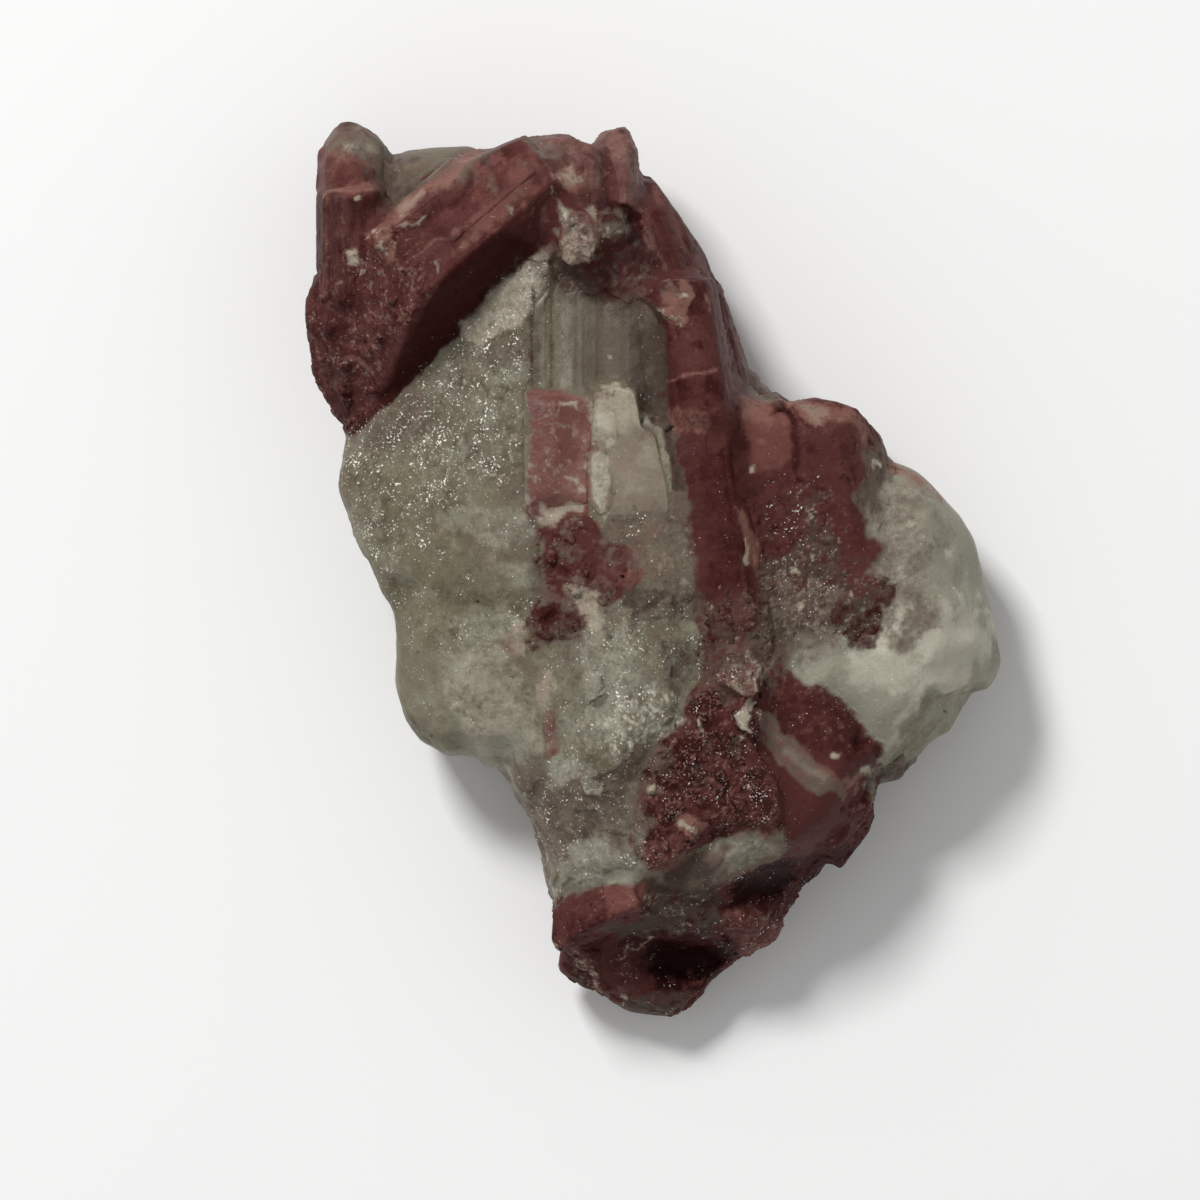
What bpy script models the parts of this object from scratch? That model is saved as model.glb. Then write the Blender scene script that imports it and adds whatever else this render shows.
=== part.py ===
"""A cluster of pink tourmaline crystals grown in quartz, lying on its broad back.

The plan is traced on a grid of pixels: x runs right, y runs down the cluster. Heights are
millimetres above the surface that it rests on. place() turns both into metres.
"""

from itertools import combinations
from math import cos, radians, sin

import bmesh
import bpy
from mathutils import Matrix, Vector, noise
from mathutils.geometry import delaunay_2d_cdt

# Driving dimensions, in metres
SPECIMEN_LENGTH = 0.054
FIT_GAP = 0.0003
MM = 0.001

# The plan's grid, in pixels
PLAN_LENGTH_PX = 899.0
PLAN_WIDTH_PX = 697.0
PLAN_CENTRE_PX = (654.5, 571.5)
PIXEL = SPECIMEN_LENGTH / PLAN_LENGTH_PX

# The matrix's broken rim, clockwise: plan pixels and the height of its upper edge
RIM = (
    (386, 166, 7.6), (402, 150, 8.2), (439, 146, 8.6), (470, 144, 8.6), (492, 153, 8.6),
    (520, 148, 8.2), (555, 152, 8.0), (592, 160, 8.0), (622, 168, 8.0), (642, 186, 7.8),
    (660, 218, 7.5), (682, 255, 7.0), (698, 290, 6.8), (712, 322, 6.6), (728, 350, 7.0),
    (748, 366, 7.8), (772, 389, 8.2), (784, 401, 7.6), (815, 420, 7.6), (848, 424, 7.4),
    (870, 444, 7.5), (890, 460, 8.4), (917, 470, 8.8), (931, 482, 8.8), (946, 497, 8.6),
    (964, 517, 8.4), (975, 536, 8.2), (982, 565, 8.0), (986, 588, 7.9), (994, 614, 7.8),
    (999, 645, 7.6), (1003, 663, 7.4), (997, 678, 7.0), (980, 701, 6.6), (969, 719, 6.4),
    (959, 739, 6.2), (941, 748, 6.0), (925, 767, 5.8), (905, 780, 5.8), (880, 784, 6.0),
    (862, 796, 6.0), (850, 818, 6.0), (838, 838, 6.0), (819, 876, 6.0), (801, 891, 6.0),
    (787, 914, 5.8), (773, 942, 5.4), (742, 961, 5.0), (721, 975, 4.8), (709, 991, 4.4),
    (693, 1006, 4.2), (676, 1019, 3.8), (657, 1020, 3.6), (627, 1016, 3.8), (604, 1000, 4.2),
    (588, 986, 4.4), (570, 962, 4.8), (561, 938, 5.4), (554, 914, 6.4), (544, 886, 7.4),
    (540, 858, 7.9), (534, 836, 8.2), (528, 815, 8.5), (514, 794, 8.8), (501, 770, 9.2),
    (484, 766, 9.4), (471, 755, 9.4), (447, 758, 9.2), (417, 742, 9.0), (404, 722, 9.0),
    (394, 683, 9.3), (396, 642, 9.6), (394, 612, 9.8), (380, 592, 10.0), (367, 560, 10.2),
    (354, 539, 10.3), (347, 513, 10.4), (337, 488, 10.5), (341, 462, 10.6), (344, 440, 10.5),
    (350, 412, 9.6), (348, 380, 8.8), (348, 345, 8.2), (350, 305, 7.6), (352, 262, 7.4),
    (354, 222, 7.0), (364, 188, 6.8),
)

# The sugary left flank and the milky slope under it
FLANK_SPOTS = (
    (375, 425, 12.0), (400, 452, 12.4), (440, 418, 13.5), (480, 398, 14.5), (514, 380, 15.2),
    (524, 340, 15.4), (525, 440, 15.5), (526, 500, 15.4), (528, 560, 15.0), (528, 612, 14.7),
    (534, 668, 13.9), (378, 500, 12.0), (420, 520, 13.2), (460, 490, 14.2), (494, 520, 15.0),
    (392, 570, 12.2), (432, 575, 13.3), (470, 592, 14.2), (420, 640, 12.3), (462, 640, 13.6),
    (500, 648, 14.2), (428, 692, 11.8), (468, 700, 12.9), (506, 708, 13.3), (440, 735, 11.0),
    (482, 738, 12.0), (522, 742, 12.6), (515, 764, 11.2), (420, 375, 13.3), (460, 335, 14.3),
    (496, 292, 15.2), (528, 262, 16.3), (546, 262, 16.6), (546, 286, 15.8), (527, 312, 15.5),
    (500, 330, 14.7), (478, 348, 14.4),
)

# Quartz under the upper crystals and the low lump behind them
UPPER_SPOTS = (
    (400, 335, 12.4), (450, 280, 13.2), (500, 226, 13.2), (415, 245, 11.6), (404, 168, 9.9),
    (432, 166, 10.8), (466, 160, 10.6), (452, 192, 11.6), (486, 166, 10.2), (600, 282, 13.2),
    (640, 282, 13.0), (582, 222, 12.6), (540, 192, 12.0), (620, 205, 11.2), (660, 252, 10.4),
    (565, 330, 12.8), (565, 450, 12.8), (612, 330, 12.9), (650, 350, 12.9), (652, 400, 12.7),
    (700, 350, 10.4), (700, 420, 10.8),
)

# Sparkly quartz of the middle and the broken hollow above it
MIDDLE_SPOTS = (
    (560, 532, 14.5), (602, 536, 14.3), (590, 568, 13.8), (622, 562, 14.4), (560, 592, 13.9),
    (650, 540, 14.8), (682, 560, 14.2), (545, 520, 14.8), (598, 600, 14.2), (560, 622, 14.6),
    (546, 652, 14.2), (600, 640, 15.7), (642, 612, 14.9), (672, 600, 15.2), (620, 682, 15.9),
    (660, 660, 15.6), (684, 640, 14.5), (590, 700, 15.2), (632, 724, 16.2), (662, 712, 15.7),
    (562, 730, 13.8), (592, 750, 14.8), (541, 700, 13.7), (628, 755, 15.2), (600, 462, 13.2),
    (642, 480, 13.2), (672, 462, 12.4), (676, 505, 13.0), (690, 600, 13.0),
)

# The valley and the shoulder right of the long crystal
VALLEY_SPOTS = (
    (765, 510, 11.8), (788, 500, 11.3), (802, 540, 10.9), (770, 560, 11.7), (792, 590, 11.4),
    (820, 572, 11.2), (782, 622, 12.2), (820, 612, 11.5), (760, 602, 12.6), (745, 640, 12.6),
    (764, 396, 8.8), (772, 430, 9.4), (830, 450, 9.2), (720, 480, 11.6), (722, 560, 11.8),
    (726, 640, 12.2), (742, 690, 11.6), (766, 716, 10.4), (762, 750, 9.6),
)

# The smooth right lobe with the scooped break under it
LOBE_SPOTS = (
    (884, 532, 12.0), (922, 538, 12.5), (956, 560, 10.9), (868, 596, 11.9), (902, 600, 12.9),
    (940, 610, 12.7), (972, 642, 11.0), (886, 655, 13.3), (930, 660, 13.0), (850, 652, 12.6),
    (820, 662, 12.7), (796, 652, 12.3), (850, 700, 12.1), (886, 708, 12.5), (798, 690, 13.0),
    (928, 694, 12.3), (907, 728, 11.6), (888, 758, 10.3), (944, 712, 9.7), (926, 744, 8.4),
    (957, 720, 8.7), (902, 768, 7.4), (974, 688, 9.9), (900, 490, 10.6), (932, 508, 11.0),
    (958, 602, 11.9), (905, 560, 12.7),
)

# Low ground at the lower right and the foot of the cluster
FOOT_SPOTS = (
    (800, 742, 9.8), (840, 786, 8.0), (784, 800, 9.4), (826, 826, 8.0), (682, 770, 12.8),
    (720, 752, 12.4), (736, 800, 11.6), (672, 820, 12.2), (690, 866, 12.2), (722, 858, 13.1),
    (750, 845, 13.2), (772, 838, 12.6), (702, 884, 11.2), (740, 872, 11.7), (764, 857, 11.4),
    (762, 888, 8.0), (734, 898, 8.6), (792, 868, 8.6), (706, 908, 9.4), (642, 918, 9.0),
    (672, 906, 9.9), (648, 940, 7.8), (692, 926, 8.9), (750, 922, 8.6), (768, 906, 8.2),
    (738, 946, 6.8), (664, 952, 4.1), (702, 956, 3.6), (722, 960, 4.2), (692, 974, 3.9),
    (650, 968, 5.2), (640, 1000, 5.3), (668, 1002, 5.2), (618, 984, 5.8), (622, 955, 6.9),
    (704, 984, 4.6), (656, 984, 5.3),
    (520, 790, 10.8), (552, 782, 12.4), (580, 782, 13.8), (612, 792, 13.9), (546, 820, 10.9),
    (582, 822, 11.8), (614, 832, 12.6), (562, 854, 10.6), (602, 858, 12.0), (636, 864, 12.4),
    (557, 884, 9.2), (592, 882, 10.4), (662, 880, 11.2), (600, 925, 6.6),
)

# Breaks that stay sharp, each running through spots above
RIDGES = (
    ((524, 340), (525, 440), (526, 500), (528, 560), (528, 612), (534, 668)),
    ((546, 262), (546, 286), (527, 312), (500, 330), (478, 348)),
    ((928, 694), (907, 728), (888, 758)),
    ((690, 866), (722, 858), (750, 845), (772, 838)),
    ((702, 884), (740, 872), (764, 857)),
    ((706, 908), (734, 898), (762, 888), (792, 868)),
    ((648, 940), (692, 926), (750, 922)),
    ((664, 952), (702, 956), (722, 960)),
    ((650, 968), (656, 984), (704, 984)),
    ((600, 640), (620, 682), (632, 724), (628, 755)),
    ((590, 568), (560, 592), (560, 622)),
)

# The broken back: a flat facet that it rests on, and the slopes around it
REST_FACET = (
    (432, 330), (520, 240), (640, 262), (742, 420), (850, 505), (905, 585), (868, 690),
    (800, 800), (720, 890), (640, 905), (580, 800), (500, 690), (432, 600), (405, 470),
)
BACK_SPOTS = (
    (410, 230, 2.3), (470, 190, 2.4), (560, 200, 2.2), (650, 225, 2.0), (700, 320, 1.5),
    (400, 300, 1.9), (376, 400, 2.2), (362, 490, 2.5), (395, 560, 1.6), (425, 650, 1.8),
    (470, 730, 2.3), (540, 780, 1.7), (560, 850, 1.6), (600, 940, 0.9), (650, 985, 0.7),
    (730, 930, 0.9), (800, 850, 1.3), (860, 770, 1.4), (920, 720, 1.4), (960, 660, 1.9),
    (955, 580, 2.0), (910, 500, 1.9), (820, 440, 1.8), (780, 415, 2.0), (770, 440, 1.0),
)
RIM_BAND_MM = 1.6
RIM_LEAN_PX = 4.0
BACK_RIM_PX = 9.0
BACK_RIM_SHARE = 0.45
BACK_CHIP_LOWEST_MM = 0.25

# Chips of the break between the chosen spots
CHIP_STEP_PX = 21.0
CHIP_DEPTH_MM = 0.55
CHIP_GRAIN = 900.0
CHIP_CLEARANCE_PX = 8.0
BREAK_CLEARANCE_PX = 5.0
FLANK_BORDER_PX = 528.0
FLANK_CALM = 0.4
SEED_SHIFT = Vector((3.1, 7.7, 1.9))
NOISE_STRIDE = (0.37, 0.41)

# Small angular grains fused to the crystals
GRAIN_SIDES = 5
GRAIN_TURN = 40.0
GRAIN_LEAN = 20.0
GRAIN_SHORTEST = 0.55
GRAIN_DEPTH_MM = 1.8

# Tolerances of the convex solids, in metres, and of the plan's triangulation, in pixels
INSIDE_TOLERANCE = 3e-7
SAME_CORNER = 2e-6
PARALLEL = 1e-4
FLAT_ANGLE = 0.5
PLAN_TOLERANCE = 1e-6

# Base colours, roughness values and metallic values of the sub-parts
QUARTZ = ((0.36, 0.35, 0.29), 0.32)
RED = ((0.13, 0.035, 0.035), 0.30)
DARK_RED = ((0.10, 0.030, 0.028), 0.34)
ROSE = ((0.22, 0.075, 0.07), 0.32)
SMOKY_ROSE = ((0.19, 0.13, 0.11), 0.28)
PALE_PINK = ((0.26, 0.12, 0.10), 0.40)
CREAM = ((0.45, 0.41, 0.33), 0.45)
NO_METAL = 0.0


# Placing and convex solids


def place(x, y, height):
    """The point in metres of a plan pixel and a height in millimetres."""
    return Vector((
        (x - PLAN_CENTRE_PX[0]) * PIXEL,
        (PLAN_CENTRE_PX[1] - y) * PIXEL,
        height * MM,
    ))


def facet(point, azimuth, elevation):
    """The plane through a point whose outward side faces that way, in degrees."""
    turn = radians(azimuth)
    lift = radians(elevation)
    normal = Vector((cos(turn) * cos(lift), sin(turn) * cos(lift), sin(lift)))
    return normal, normal.dot(place(*point))


def side_planes(ring, along):
    """The planes along a closed ring of points, facing away from its middle."""
    centre = sum(ring, Vector()) / len(ring)
    planes = []
    for first, second in zip(ring, ring[1:] + ring[:1]):
        normal = (second - first).cross(along).normalized()
        if normal.dot(centre - first) > 0:
            normal.negate()
        planes.append((normal, normal.dot(first)))
    return planes


def prism(foot, head, profile, breaks=()):
    """Planes of a crystal prism that runs from foot to head.

    Its profile is pairs of pixels to the right of the axis and millimetres above it. Each
    break is a facet's point, azimuth and elevation.
    """
    base = place(*foot)
    tip = place(*head)
    along = (tip - base).normalized()
    right = along.cross(Vector((0, 0, 1))).normalized()
    up = right.cross(along)
    ring = [base + right * (u * PIXEL) + up * (v * MM) for u, v in profile]
    ends = [(-along, -along.dot(base)), (along, along.dot(tip))]
    return ends + side_planes(ring, along) + [facet(*cut) for cut in breaks]


def slab(outline, bottom, top, lean=(0, 0), breaks=()):
    """Planes of a plate with a convex plan; its top leans by degrees towards an azimuth."""
    ring = [place(x, y, top) for x, y in outline]
    centre = [sum(values) / len(outline) for values in zip(*outline)]
    azimuth, degrees = lean
    under = (Vector((0, 0, -1)), -bottom * MM)
    over = facet((*centre, top), azimuth, 90 - degrees)
    return [under, over] + side_planes(ring, Vector((0, 0, 1))) + [facet(*cut) for cut in breaks]


def grains(spots):
    """Small angular grains, each given by its plan point, its top and its reach in pixels."""
    members = []
    for number, (x, y, top, reach) in enumerate(spots):
        outline = []
        for side in range(GRAIN_SIDES):
            turn = radians(GRAIN_TURN * number + 360 * side / GRAIN_SIDES)
            arm = reach * (GRAIN_SHORTEST if (number + side) % 3 == 0 else 1.0)
            outline.append((x + arm * cos(turn), y + arm * sin(turn)))
        lean = (GRAIN_TURN * number, GRAIN_LEAN)
        members.append(slab(outline, top - GRAIN_DEPTH_MM, top, lean))
    return members


def corners_of(planes, grow):
    """Corners of the solid inside every plane, each plane moved outward by grow."""
    moved = [(normal, distance + grow) for normal, distance in planes]
    corners = []
    for trio in combinations(moved, 3):
        sides = Matrix([normal for normal, _ in trio])
        if abs(sides.determinant()) < PARALLEL:
            continue
        corner = sides.inverted() @ Vector([distance for _, distance in trio])
        inside = all(
            normal.dot(corner) <= distance + INSIDE_TOLERANCE for normal, distance in moved
        )
        if inside and all((corner - other).length > SAME_CORNER for other in corners):
            corners.append(corner)
    return corners


def convex_object(name, planes, grow=0.0):
    """An object with the flat faces of the solid inside the planes."""
    shape = bmesh.new()
    for corner in corners_of(planes, grow):
        shape.verts.new(corner)
    hull = bmesh.ops.convex_hull(shape, input=shape.verts)
    loose = [item for item in hull["geom_interior"] if isinstance(item, bmesh.types.BMVert)]
    bmesh.ops.delete(shape, geom=loose, context="VERTS")
    bmesh.ops.dissolve_limit(
        shape, angle_limit=radians(FLAT_ANGLE), verts=shape.verts, edges=shape.edges
    )
    bmesh.ops.recalc_face_normals(shape, faces=shape.faces)
    mesh = bpy.data.meshes.new(name)
    shape.to_mesh(mesh)
    shape.free()
    return bpy.data.objects.new(name, mesh)


# Materials, helpers and joins


def finish(name, look):
    """A plain Principled material of one colour."""
    colour, roughness = look
    made = bpy.data.materials.new(name)
    made.use_nodes = True
    shader = made.node_tree.nodes["Principled BSDF"]
    shader.inputs["Base Color"].default_value = (*colour, 1)
    shader.inputs["Roughness"].default_value = roughness
    shader.inputs["Metallic"].default_value = NO_METAL
    made.diffuse_color = (*colour, 1)
    return made


def helpers_of(name, members, grow):
    """Hidden solids that a Boolean joins or cuts with."""
    helpers = []
    for number, planes in enumerate(members):
        helper = convex_object(f"{name}_{number}", planes, grow)
        helper.hide_render = True
        helper.display_type = "WIRE"
        bpy.context.scene.collection.objects.link(helper)
        helpers.append(helper)
    return helpers


def boolean(target, helpers, operation):
    """Boolean modifiers on the target, one for each helper."""
    for helper in helpers:
        step = target.modifiers.new(f"{operation.title()} {helper.name}", "BOOLEAN")
        step.operand_type = "OBJECT"
        step.object = helper
        step.operation = operation
        step.solver = "EXACT"


def crystal(name, members, look, neighbours=()):
    """A node of convex members joined in one solid, cut clear of its neighbours.

    Returns the hidden, grown copies of its members that later pieces are cut with.
    """
    node = convex_object(name, members[0])
    bpy.context.scene.collection.objects.link(node)
    node.data.materials.append(finish(name, look))
    boolean(node, helpers_of(f"{name}_joined", members[1:], 0.0), "UNION")
    for neighbour in neighbours:
        boolean(node, neighbour, "DIFFERENCE")
    return helpers_of(f"{name}_clearance", members, FIT_GAP)


# The quartz matrix


def inset(ring, distance):
    """The closed ring of plan points moved inward by a distance in pixels."""
    moved = []
    for before, here, after in zip(ring[-1:] + ring[:-1], ring, ring[1:] + ring[:1]):
        along = (Vector(after[:2]) - Vector(before[:2])).normalized()
        moved.append((here[0] - along.y * distance, here[1] + along.x * distance))
    return moved


def triangulated(outline, spots, ridges):
    """Points and triangles of a height field over an outline, in plan pixels."""
    points = list(outline) + list(spots)
    index = {point[:2]: number for number, point in enumerate(points)}
    edges = [(i, (i + 1) % len(outline)) for i in range(len(outline))]
    for ridge in ridges:
        edges += [(index[a], index[b]) for a, b in zip(ridge, ridge[1:])]
    plan = [Vector(point[:2]) for point in points]
    found, _, faces, origins, _, _ = delaunay_2d_cdt(plan, edges, [], 1, PLAN_TOLERANCE)
    assert len(found) == len(points), "two breaks cross, or two points coincide"
    return points, [[origins[corner][0] for corner in face] for face in faces]


def height_at(points, faces, x, y):
    """The height of the field at a plan point, or None outside it."""
    here = Vector((x, y))
    for face in faces:
        a, b, c = (Vector(points[corner]) for corner in face)
        area = (b.xy - a.xy).cross(c.xy - a.xy)
        share_b = (here - a.xy).cross(c.xy - a.xy) / area
        share_c = (b.xy - a.xy).cross(here - a.xy) / area
        if share_b >= 0 and share_c >= 0 and share_b + share_c <= 1:
            return a.z + share_b * (b.z - a.z) + share_c * (c.z - a.z)
    return None


def distance_to(point, first, second):
    """Distance in the plan from a point to a stretch between two others."""
    stretch = second - first
    share = max(0.0, min(1.0, (point - first).dot(stretch) / stretch.length_squared))
    return (point - first - stretch * share).length


def chips(outline, spots, ridges, lowest):
    """Uneven points between the chosen spots, wherever the field is above lowest."""
    points, faces = triangulated(outline, spots, ridges)
    breaks = [
        (Vector(first), Vector(second))
        for ridge in ridges
        for first, second in zip(ridge, ridge[1:])
    ]
    left = PLAN_CENTRE_PX[0] - PLAN_WIDTH_PX / 2
    top = PLAN_CENTRE_PX[1] - PLAN_LENGTH_PX / 2
    found = []
    for row in range(int(PLAN_LENGTH_PX / CHIP_STEP_PX) + 1):
        for column in range(int(PLAN_WIDTH_PX / CHIP_STEP_PX) + 1):
            x = left + (column + 0.5 * (row % 2)) * CHIP_STEP_PX
            y = top + row * CHIP_STEP_PX
            cell = Vector((x * NOISE_STRIDE[0], y * NOISE_STRIDE[1], lowest))
            stray = noise.noise_vector(cell + SEED_SHIFT)
            x += stray.x * 0.5 * CHIP_STEP_PX
            y += stray.y * 0.5 * CHIP_STEP_PX
            height = height_at(points, faces, x, y)
            here = Vector((x, y))
            from_spots = min((here - Vector(point[:2])).length for point in points)
            from_breaks = min(distance_to(here, *line) for line in breaks)
            clear = from_spots > CHIP_CLEARANCE_PX and from_breaks > BREAK_CLEARANCE_PX
            if height is None or height <= lowest or not clear:
                continue
            calm = FLANK_CALM if x < FLANK_BORDER_PX else 1.0
            depth = noise.noise(place(x, y, lowest) * CHIP_GRAIN + SEED_SHIFT)
            found.append((x, y, max(height + depth * CHIP_DEPTH_MM * calm, lowest)))
    return found


def add_field(shape, outline, corners, spots, ridges, lowest=0.0):
    """Faces of a height field whose outline uses corners that the mesh already has."""
    spots = list(spots) + chips(outline, spots, ridges, lowest)
    points, faces = triangulated(outline, spots, ridges)
    verts = corners + [shape.verts.new(place(*point)) for point in points[len(outline):]]
    for face in faces:
        shape.faces.new([verts[corner] for corner in face])


def quartz_matrix(crystals):
    """The broken lump of quartz, with a pocket for each crystal group."""
    top_ring = [
        (x, y, rim[2]) for (x, y), rim in zip(inset(RIM, RIM_LEAN_PX), RIM)
    ]
    band_ring = [(x, y, height - RIM_BAND_MM) for x, y, height in RIM]
    back_ring = [
        (x, y, band[2] * BACK_RIM_SHARE)
        for (x, y), band in zip(inset(RIM, BACK_RIM_PX), band_ring)
    ]
    shape = bmesh.new()
    rings = [
        [shape.verts.new(place(*point)) for point in ring]
        for ring in (top_ring, band_ring, back_ring)
    ]
    for upper, lower in zip(rings, rings[1:]):
        for i, j in zip(range(len(RIM)), [*range(1, len(RIM)), 0]):
            shape.faces.new((upper[i], upper[j], lower[j], lower[i]))
    top_spots = (
        FLANK_SPOTS + UPPER_SPOTS + MIDDLE_SPOTS + VALLEY_SPOTS + LOBE_SPOTS + FOOT_SPOTS
    )
    add_field(shape, top_ring, rings[0], top_spots, RIDGES)
    rest = tuple((x, y, 0.0) for x, y in REST_FACET)
    rest_edge = REST_FACET + REST_FACET[:1]
    add_field(shape, back_ring, rings[2], rest + BACK_SPOTS, (rest_edge,), BACK_CHIP_LOWEST_MM)
    bmesh.ops.recalc_face_normals(shape, faces=shape.faces)
    mesh = bpy.data.meshes.new("quartz_matrix")
    shape.to_mesh(mesh)
    shape.free()
    node = bpy.data.objects.new("quartz_matrix", mesh)
    bpy.context.scene.collection.objects.link(node)
    node.data.materials.append(finish("quartz_matrix", QUARTZ))
    for clearance in crystals:
        boolean(node, clearance, "DIFFERENCE")


# The crystals, from the upper left round to the foot


def diagonal_crystal():
    left_breaks = [
        ((311, 340, 8.5), 186, -4),
        ((326, 399, 8.5), 210, -4),
        ((310, 298, 8.5), 162, -4),
    ]
    upper_break = ((505, 144, 10.0), 113, 2)
    striated = prism(
        foot=(298, 387, 12.9), head=(548, 170, 12.9),
        profile=((-66, -4.5), (-67, 1.8), (-52, 4.7), (16, 6.2), (40, 3.4), (62, 0.4), (64, -4.0),
                 (30, -6.6), (-40, -6.6)),
        breaks=[
            ((408, 300, 19.0), 221, 37),
            ((378, 236, 16.6), 188, 42),
            upper_break,
            *left_breaks,
        ],
    )
    upper_rib = prism(
        foot=(430, 272, 12.9), head=(540, 177, 12.9),
        profile=((-34, 0.0), (-33, 5.3), (-22, 5.9), (-4, 6.3), (4, 0.0)),
        breaks=[
            ((444, 236, 18.6), 221, 30),
        ],
    )
    lower_rib = prism(
        foot=(395, 303, 12.9), head=(520, 195, 12.9),
        profile=((4, 0.0), (6, 5.9), (14, 6.55), (26, 5.7), (30, 0.0)),
        breaks=[
            ((420, 290, 19.3), 221, 34),
        ],
    )
    edge_rib = prism(
        foot=(372, 323, 12.9), head=(500, 212, 12.9),
        profile=((-72, -1.0), (-71, 2.4), (-62, 3.4), (-52, 3.6), (-50, -1.0)),
        breaks=[
            ((398, 216, 15.6), 205, 40),
        ],
    )
    broken_foot = prism(
        foot=(296, 382, 9.6), head=(420, 274, 10.2),
        profile=((-54, -3.0), (-52, 1.2), (-20, 3.2), (24, 3.0), (56, 1.0), (58, -3.0)),
        breaks=[
            ((326, 356, 11.4), 212, 30),
            *left_breaks,
        ],
    )
    broken_grains = grains((
        (387, 244, 17.7, 12), (410, 225, 18.1, 8), (402, 268, 18.3, 8), (424, 264, 18.8, 7),
        (345, 363, 13.2, 9), (366, 355, 14.4, 8), (372, 390, 12.7, 8), (331, 330, 13.5, 8),
        (352, 303, 14.8, 9), (396, 302, 17.6, 9), (380, 338, 15.8, 8), (342, 390, 11.4, 8),
    ))
    members = [striated, upper_rib, lower_rib, edge_rib, broken_foot, *broken_grains]
    return crystal("diagonal_crystal", members, RED)


def corner_crystal(neighbours):
    striated = prism(
        foot=(347, 318, 9.3), head=(347, 190, 9.3),
        profile=((-29, -2.4), (-31, 1.2), (-20, 3.9), (6, 5.4), (28, 5.0), (38, 1.4), (34, -2.4)),
        breaks=[
            ((347, 196, 14.8), 90, 40),
            ((340, 300, 12.2), 262, 38),
        ],
    )
    ribs = [
        prism(
            foot=(x, 300, 9.3), head=(x, 198, 9.3),
            profile=((-5, 1.0), (-4, crest - 0.3), (1, crest), (4, crest - 0.2), (6, 1.0)),
        )
        for x, crest in ((327, 4.6), (338, 5.5), (349, 5.8))
    ]
    knob = prism(
        foot=(356, 206, 6.4), head=(352, 124, 6.0),
        profile=((-38, -1.0), (-37, 3.0), (-20, 5.8), (10, 6.2), (30, 4.0), (36, 0.6), (30, -3.0),
                 (-26, -3.2)),
        breaks=[
            ((346, 130, 10.0), 92, 26),
            ((328, 138, 7.0), 146, 2),
            ((376, 137, 7.0), 52, 2),
            ((318, 160, 7.0), 172, 8),
            ((330, 150, 10.4), 150, 36),
            ((376, 152, 10.4), 40, 40),
            ((350, 148, 12.0), 92, 62),
        ],
    )
    return crystal("corner_crystal", [striated, *ribs, knob], DARK_RED, neighbours)


def crown_crystals(neighbours):
    crown = prism(
        foot=(582, 264, 11.4), head=(556, 138, 10.2),
        profile=((-68, -3.6), (-70, 1.6), (-44, 4.8), (-6, 6.3), (30, 5.6), (52, 2.4),
                 (50, -3.6)),
        breaks=[
            ((560, 172, 16.2), 96, 54),
            ((556, 136, 10.0), 92, 2),
            ((586, 145, 10.0), 66, 0),
            ((502, 152, 12.4), 132, 30),
            ((590, 262, 17.2), 268, 34),
        ],
    )
    lump = prism(
        foot=(579, 208, 13.2), head=(574, 164, 12.6),
        profile=((-17, -1.0), (-18, 2.6), (-8, 4.3), (8, 4.2), (17, 2.4), (17, -1.0)),
        breaks=[
            ((575, 170, 16.0), 96, 36),
            ((566, 176, 16.2), 160, 40),
            ((586, 200, 16.2), 300, 46),
        ],
    )
    knob = prism(
        foot=(622, 232, 9.6), head=(614, 128, 8.0),
        profile=((-24, -3.4), (-25, 3.2), (-10, 5.6), (8, 6.0), (20, 3.6), (22, -3.4)),
        breaks=[
            ((612, 130, 8.0), 101, 0),
            ((634, 147, 8.0), 24, 0),
            ((597, 138, 8.0), 145, 4),
            ((610, 148, 13.2), 98, 38),
        ],
    )
    ledge = prism(
        foot=(612, 312, 9.6), head=(606, 236, 9.6),
        profile=((-52, -2.0), (-50, 4.6), (-20, 5.3), (20, 5.0), (44, 4.2), (50, -2.0)),
        breaks=[
            ((610, 292, 14.4), 268, 26),
        ],
    )
    grain = slab(
        outline=((559, 246), (562, 222), (574, 214), (590, 215), (597, 248), (590, 264),
                 (568, 268)),
        bottom=12.0, top=18.1, lean=(250, 12),
    )
    small_grain = slab(
        outline=((600, 222), (612, 215), (622, 221), (625, 236), (612, 244), (602, 238)),
        bottom=12.3, top=17.4, lean=(300, 14),
    )
    members = [crown, lump, knob, ledge, grain, small_grain]
    return crystal("crown_crystals", members, PALE_PINK, neighbours)


def edge_crystal(neighbours):
    long_face = prism(
        foot=(743, 404, 7.6), head=(656, 178, 9.2),
        profile=((-42, -3.4), (-44, 2.0), (-26, 4.4), (-10, 4.1), (10, 1.9), (19, -1.0),
                 (17, -3.8)),
        breaks=[
            ((650, 186, 10.6), 112, 30),
            ((662, 185, 8.0), 52, 0),
            ((644, 166, 8.0), 35, 0),
            ((742, 392, 9.4), 292, 30),
        ],
    )
    rim_rib = prism(
        foot=(744, 398, 7.4), head=(706, 286, 8.0),
        profile=((-8, -1.0), (-7, 2.0), (2, 2.7), (10, 1.4), (16, -1.0)),
    )
    return crystal("edge_crystal", [long_face, rim_rib], RED, neighbours)


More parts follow.
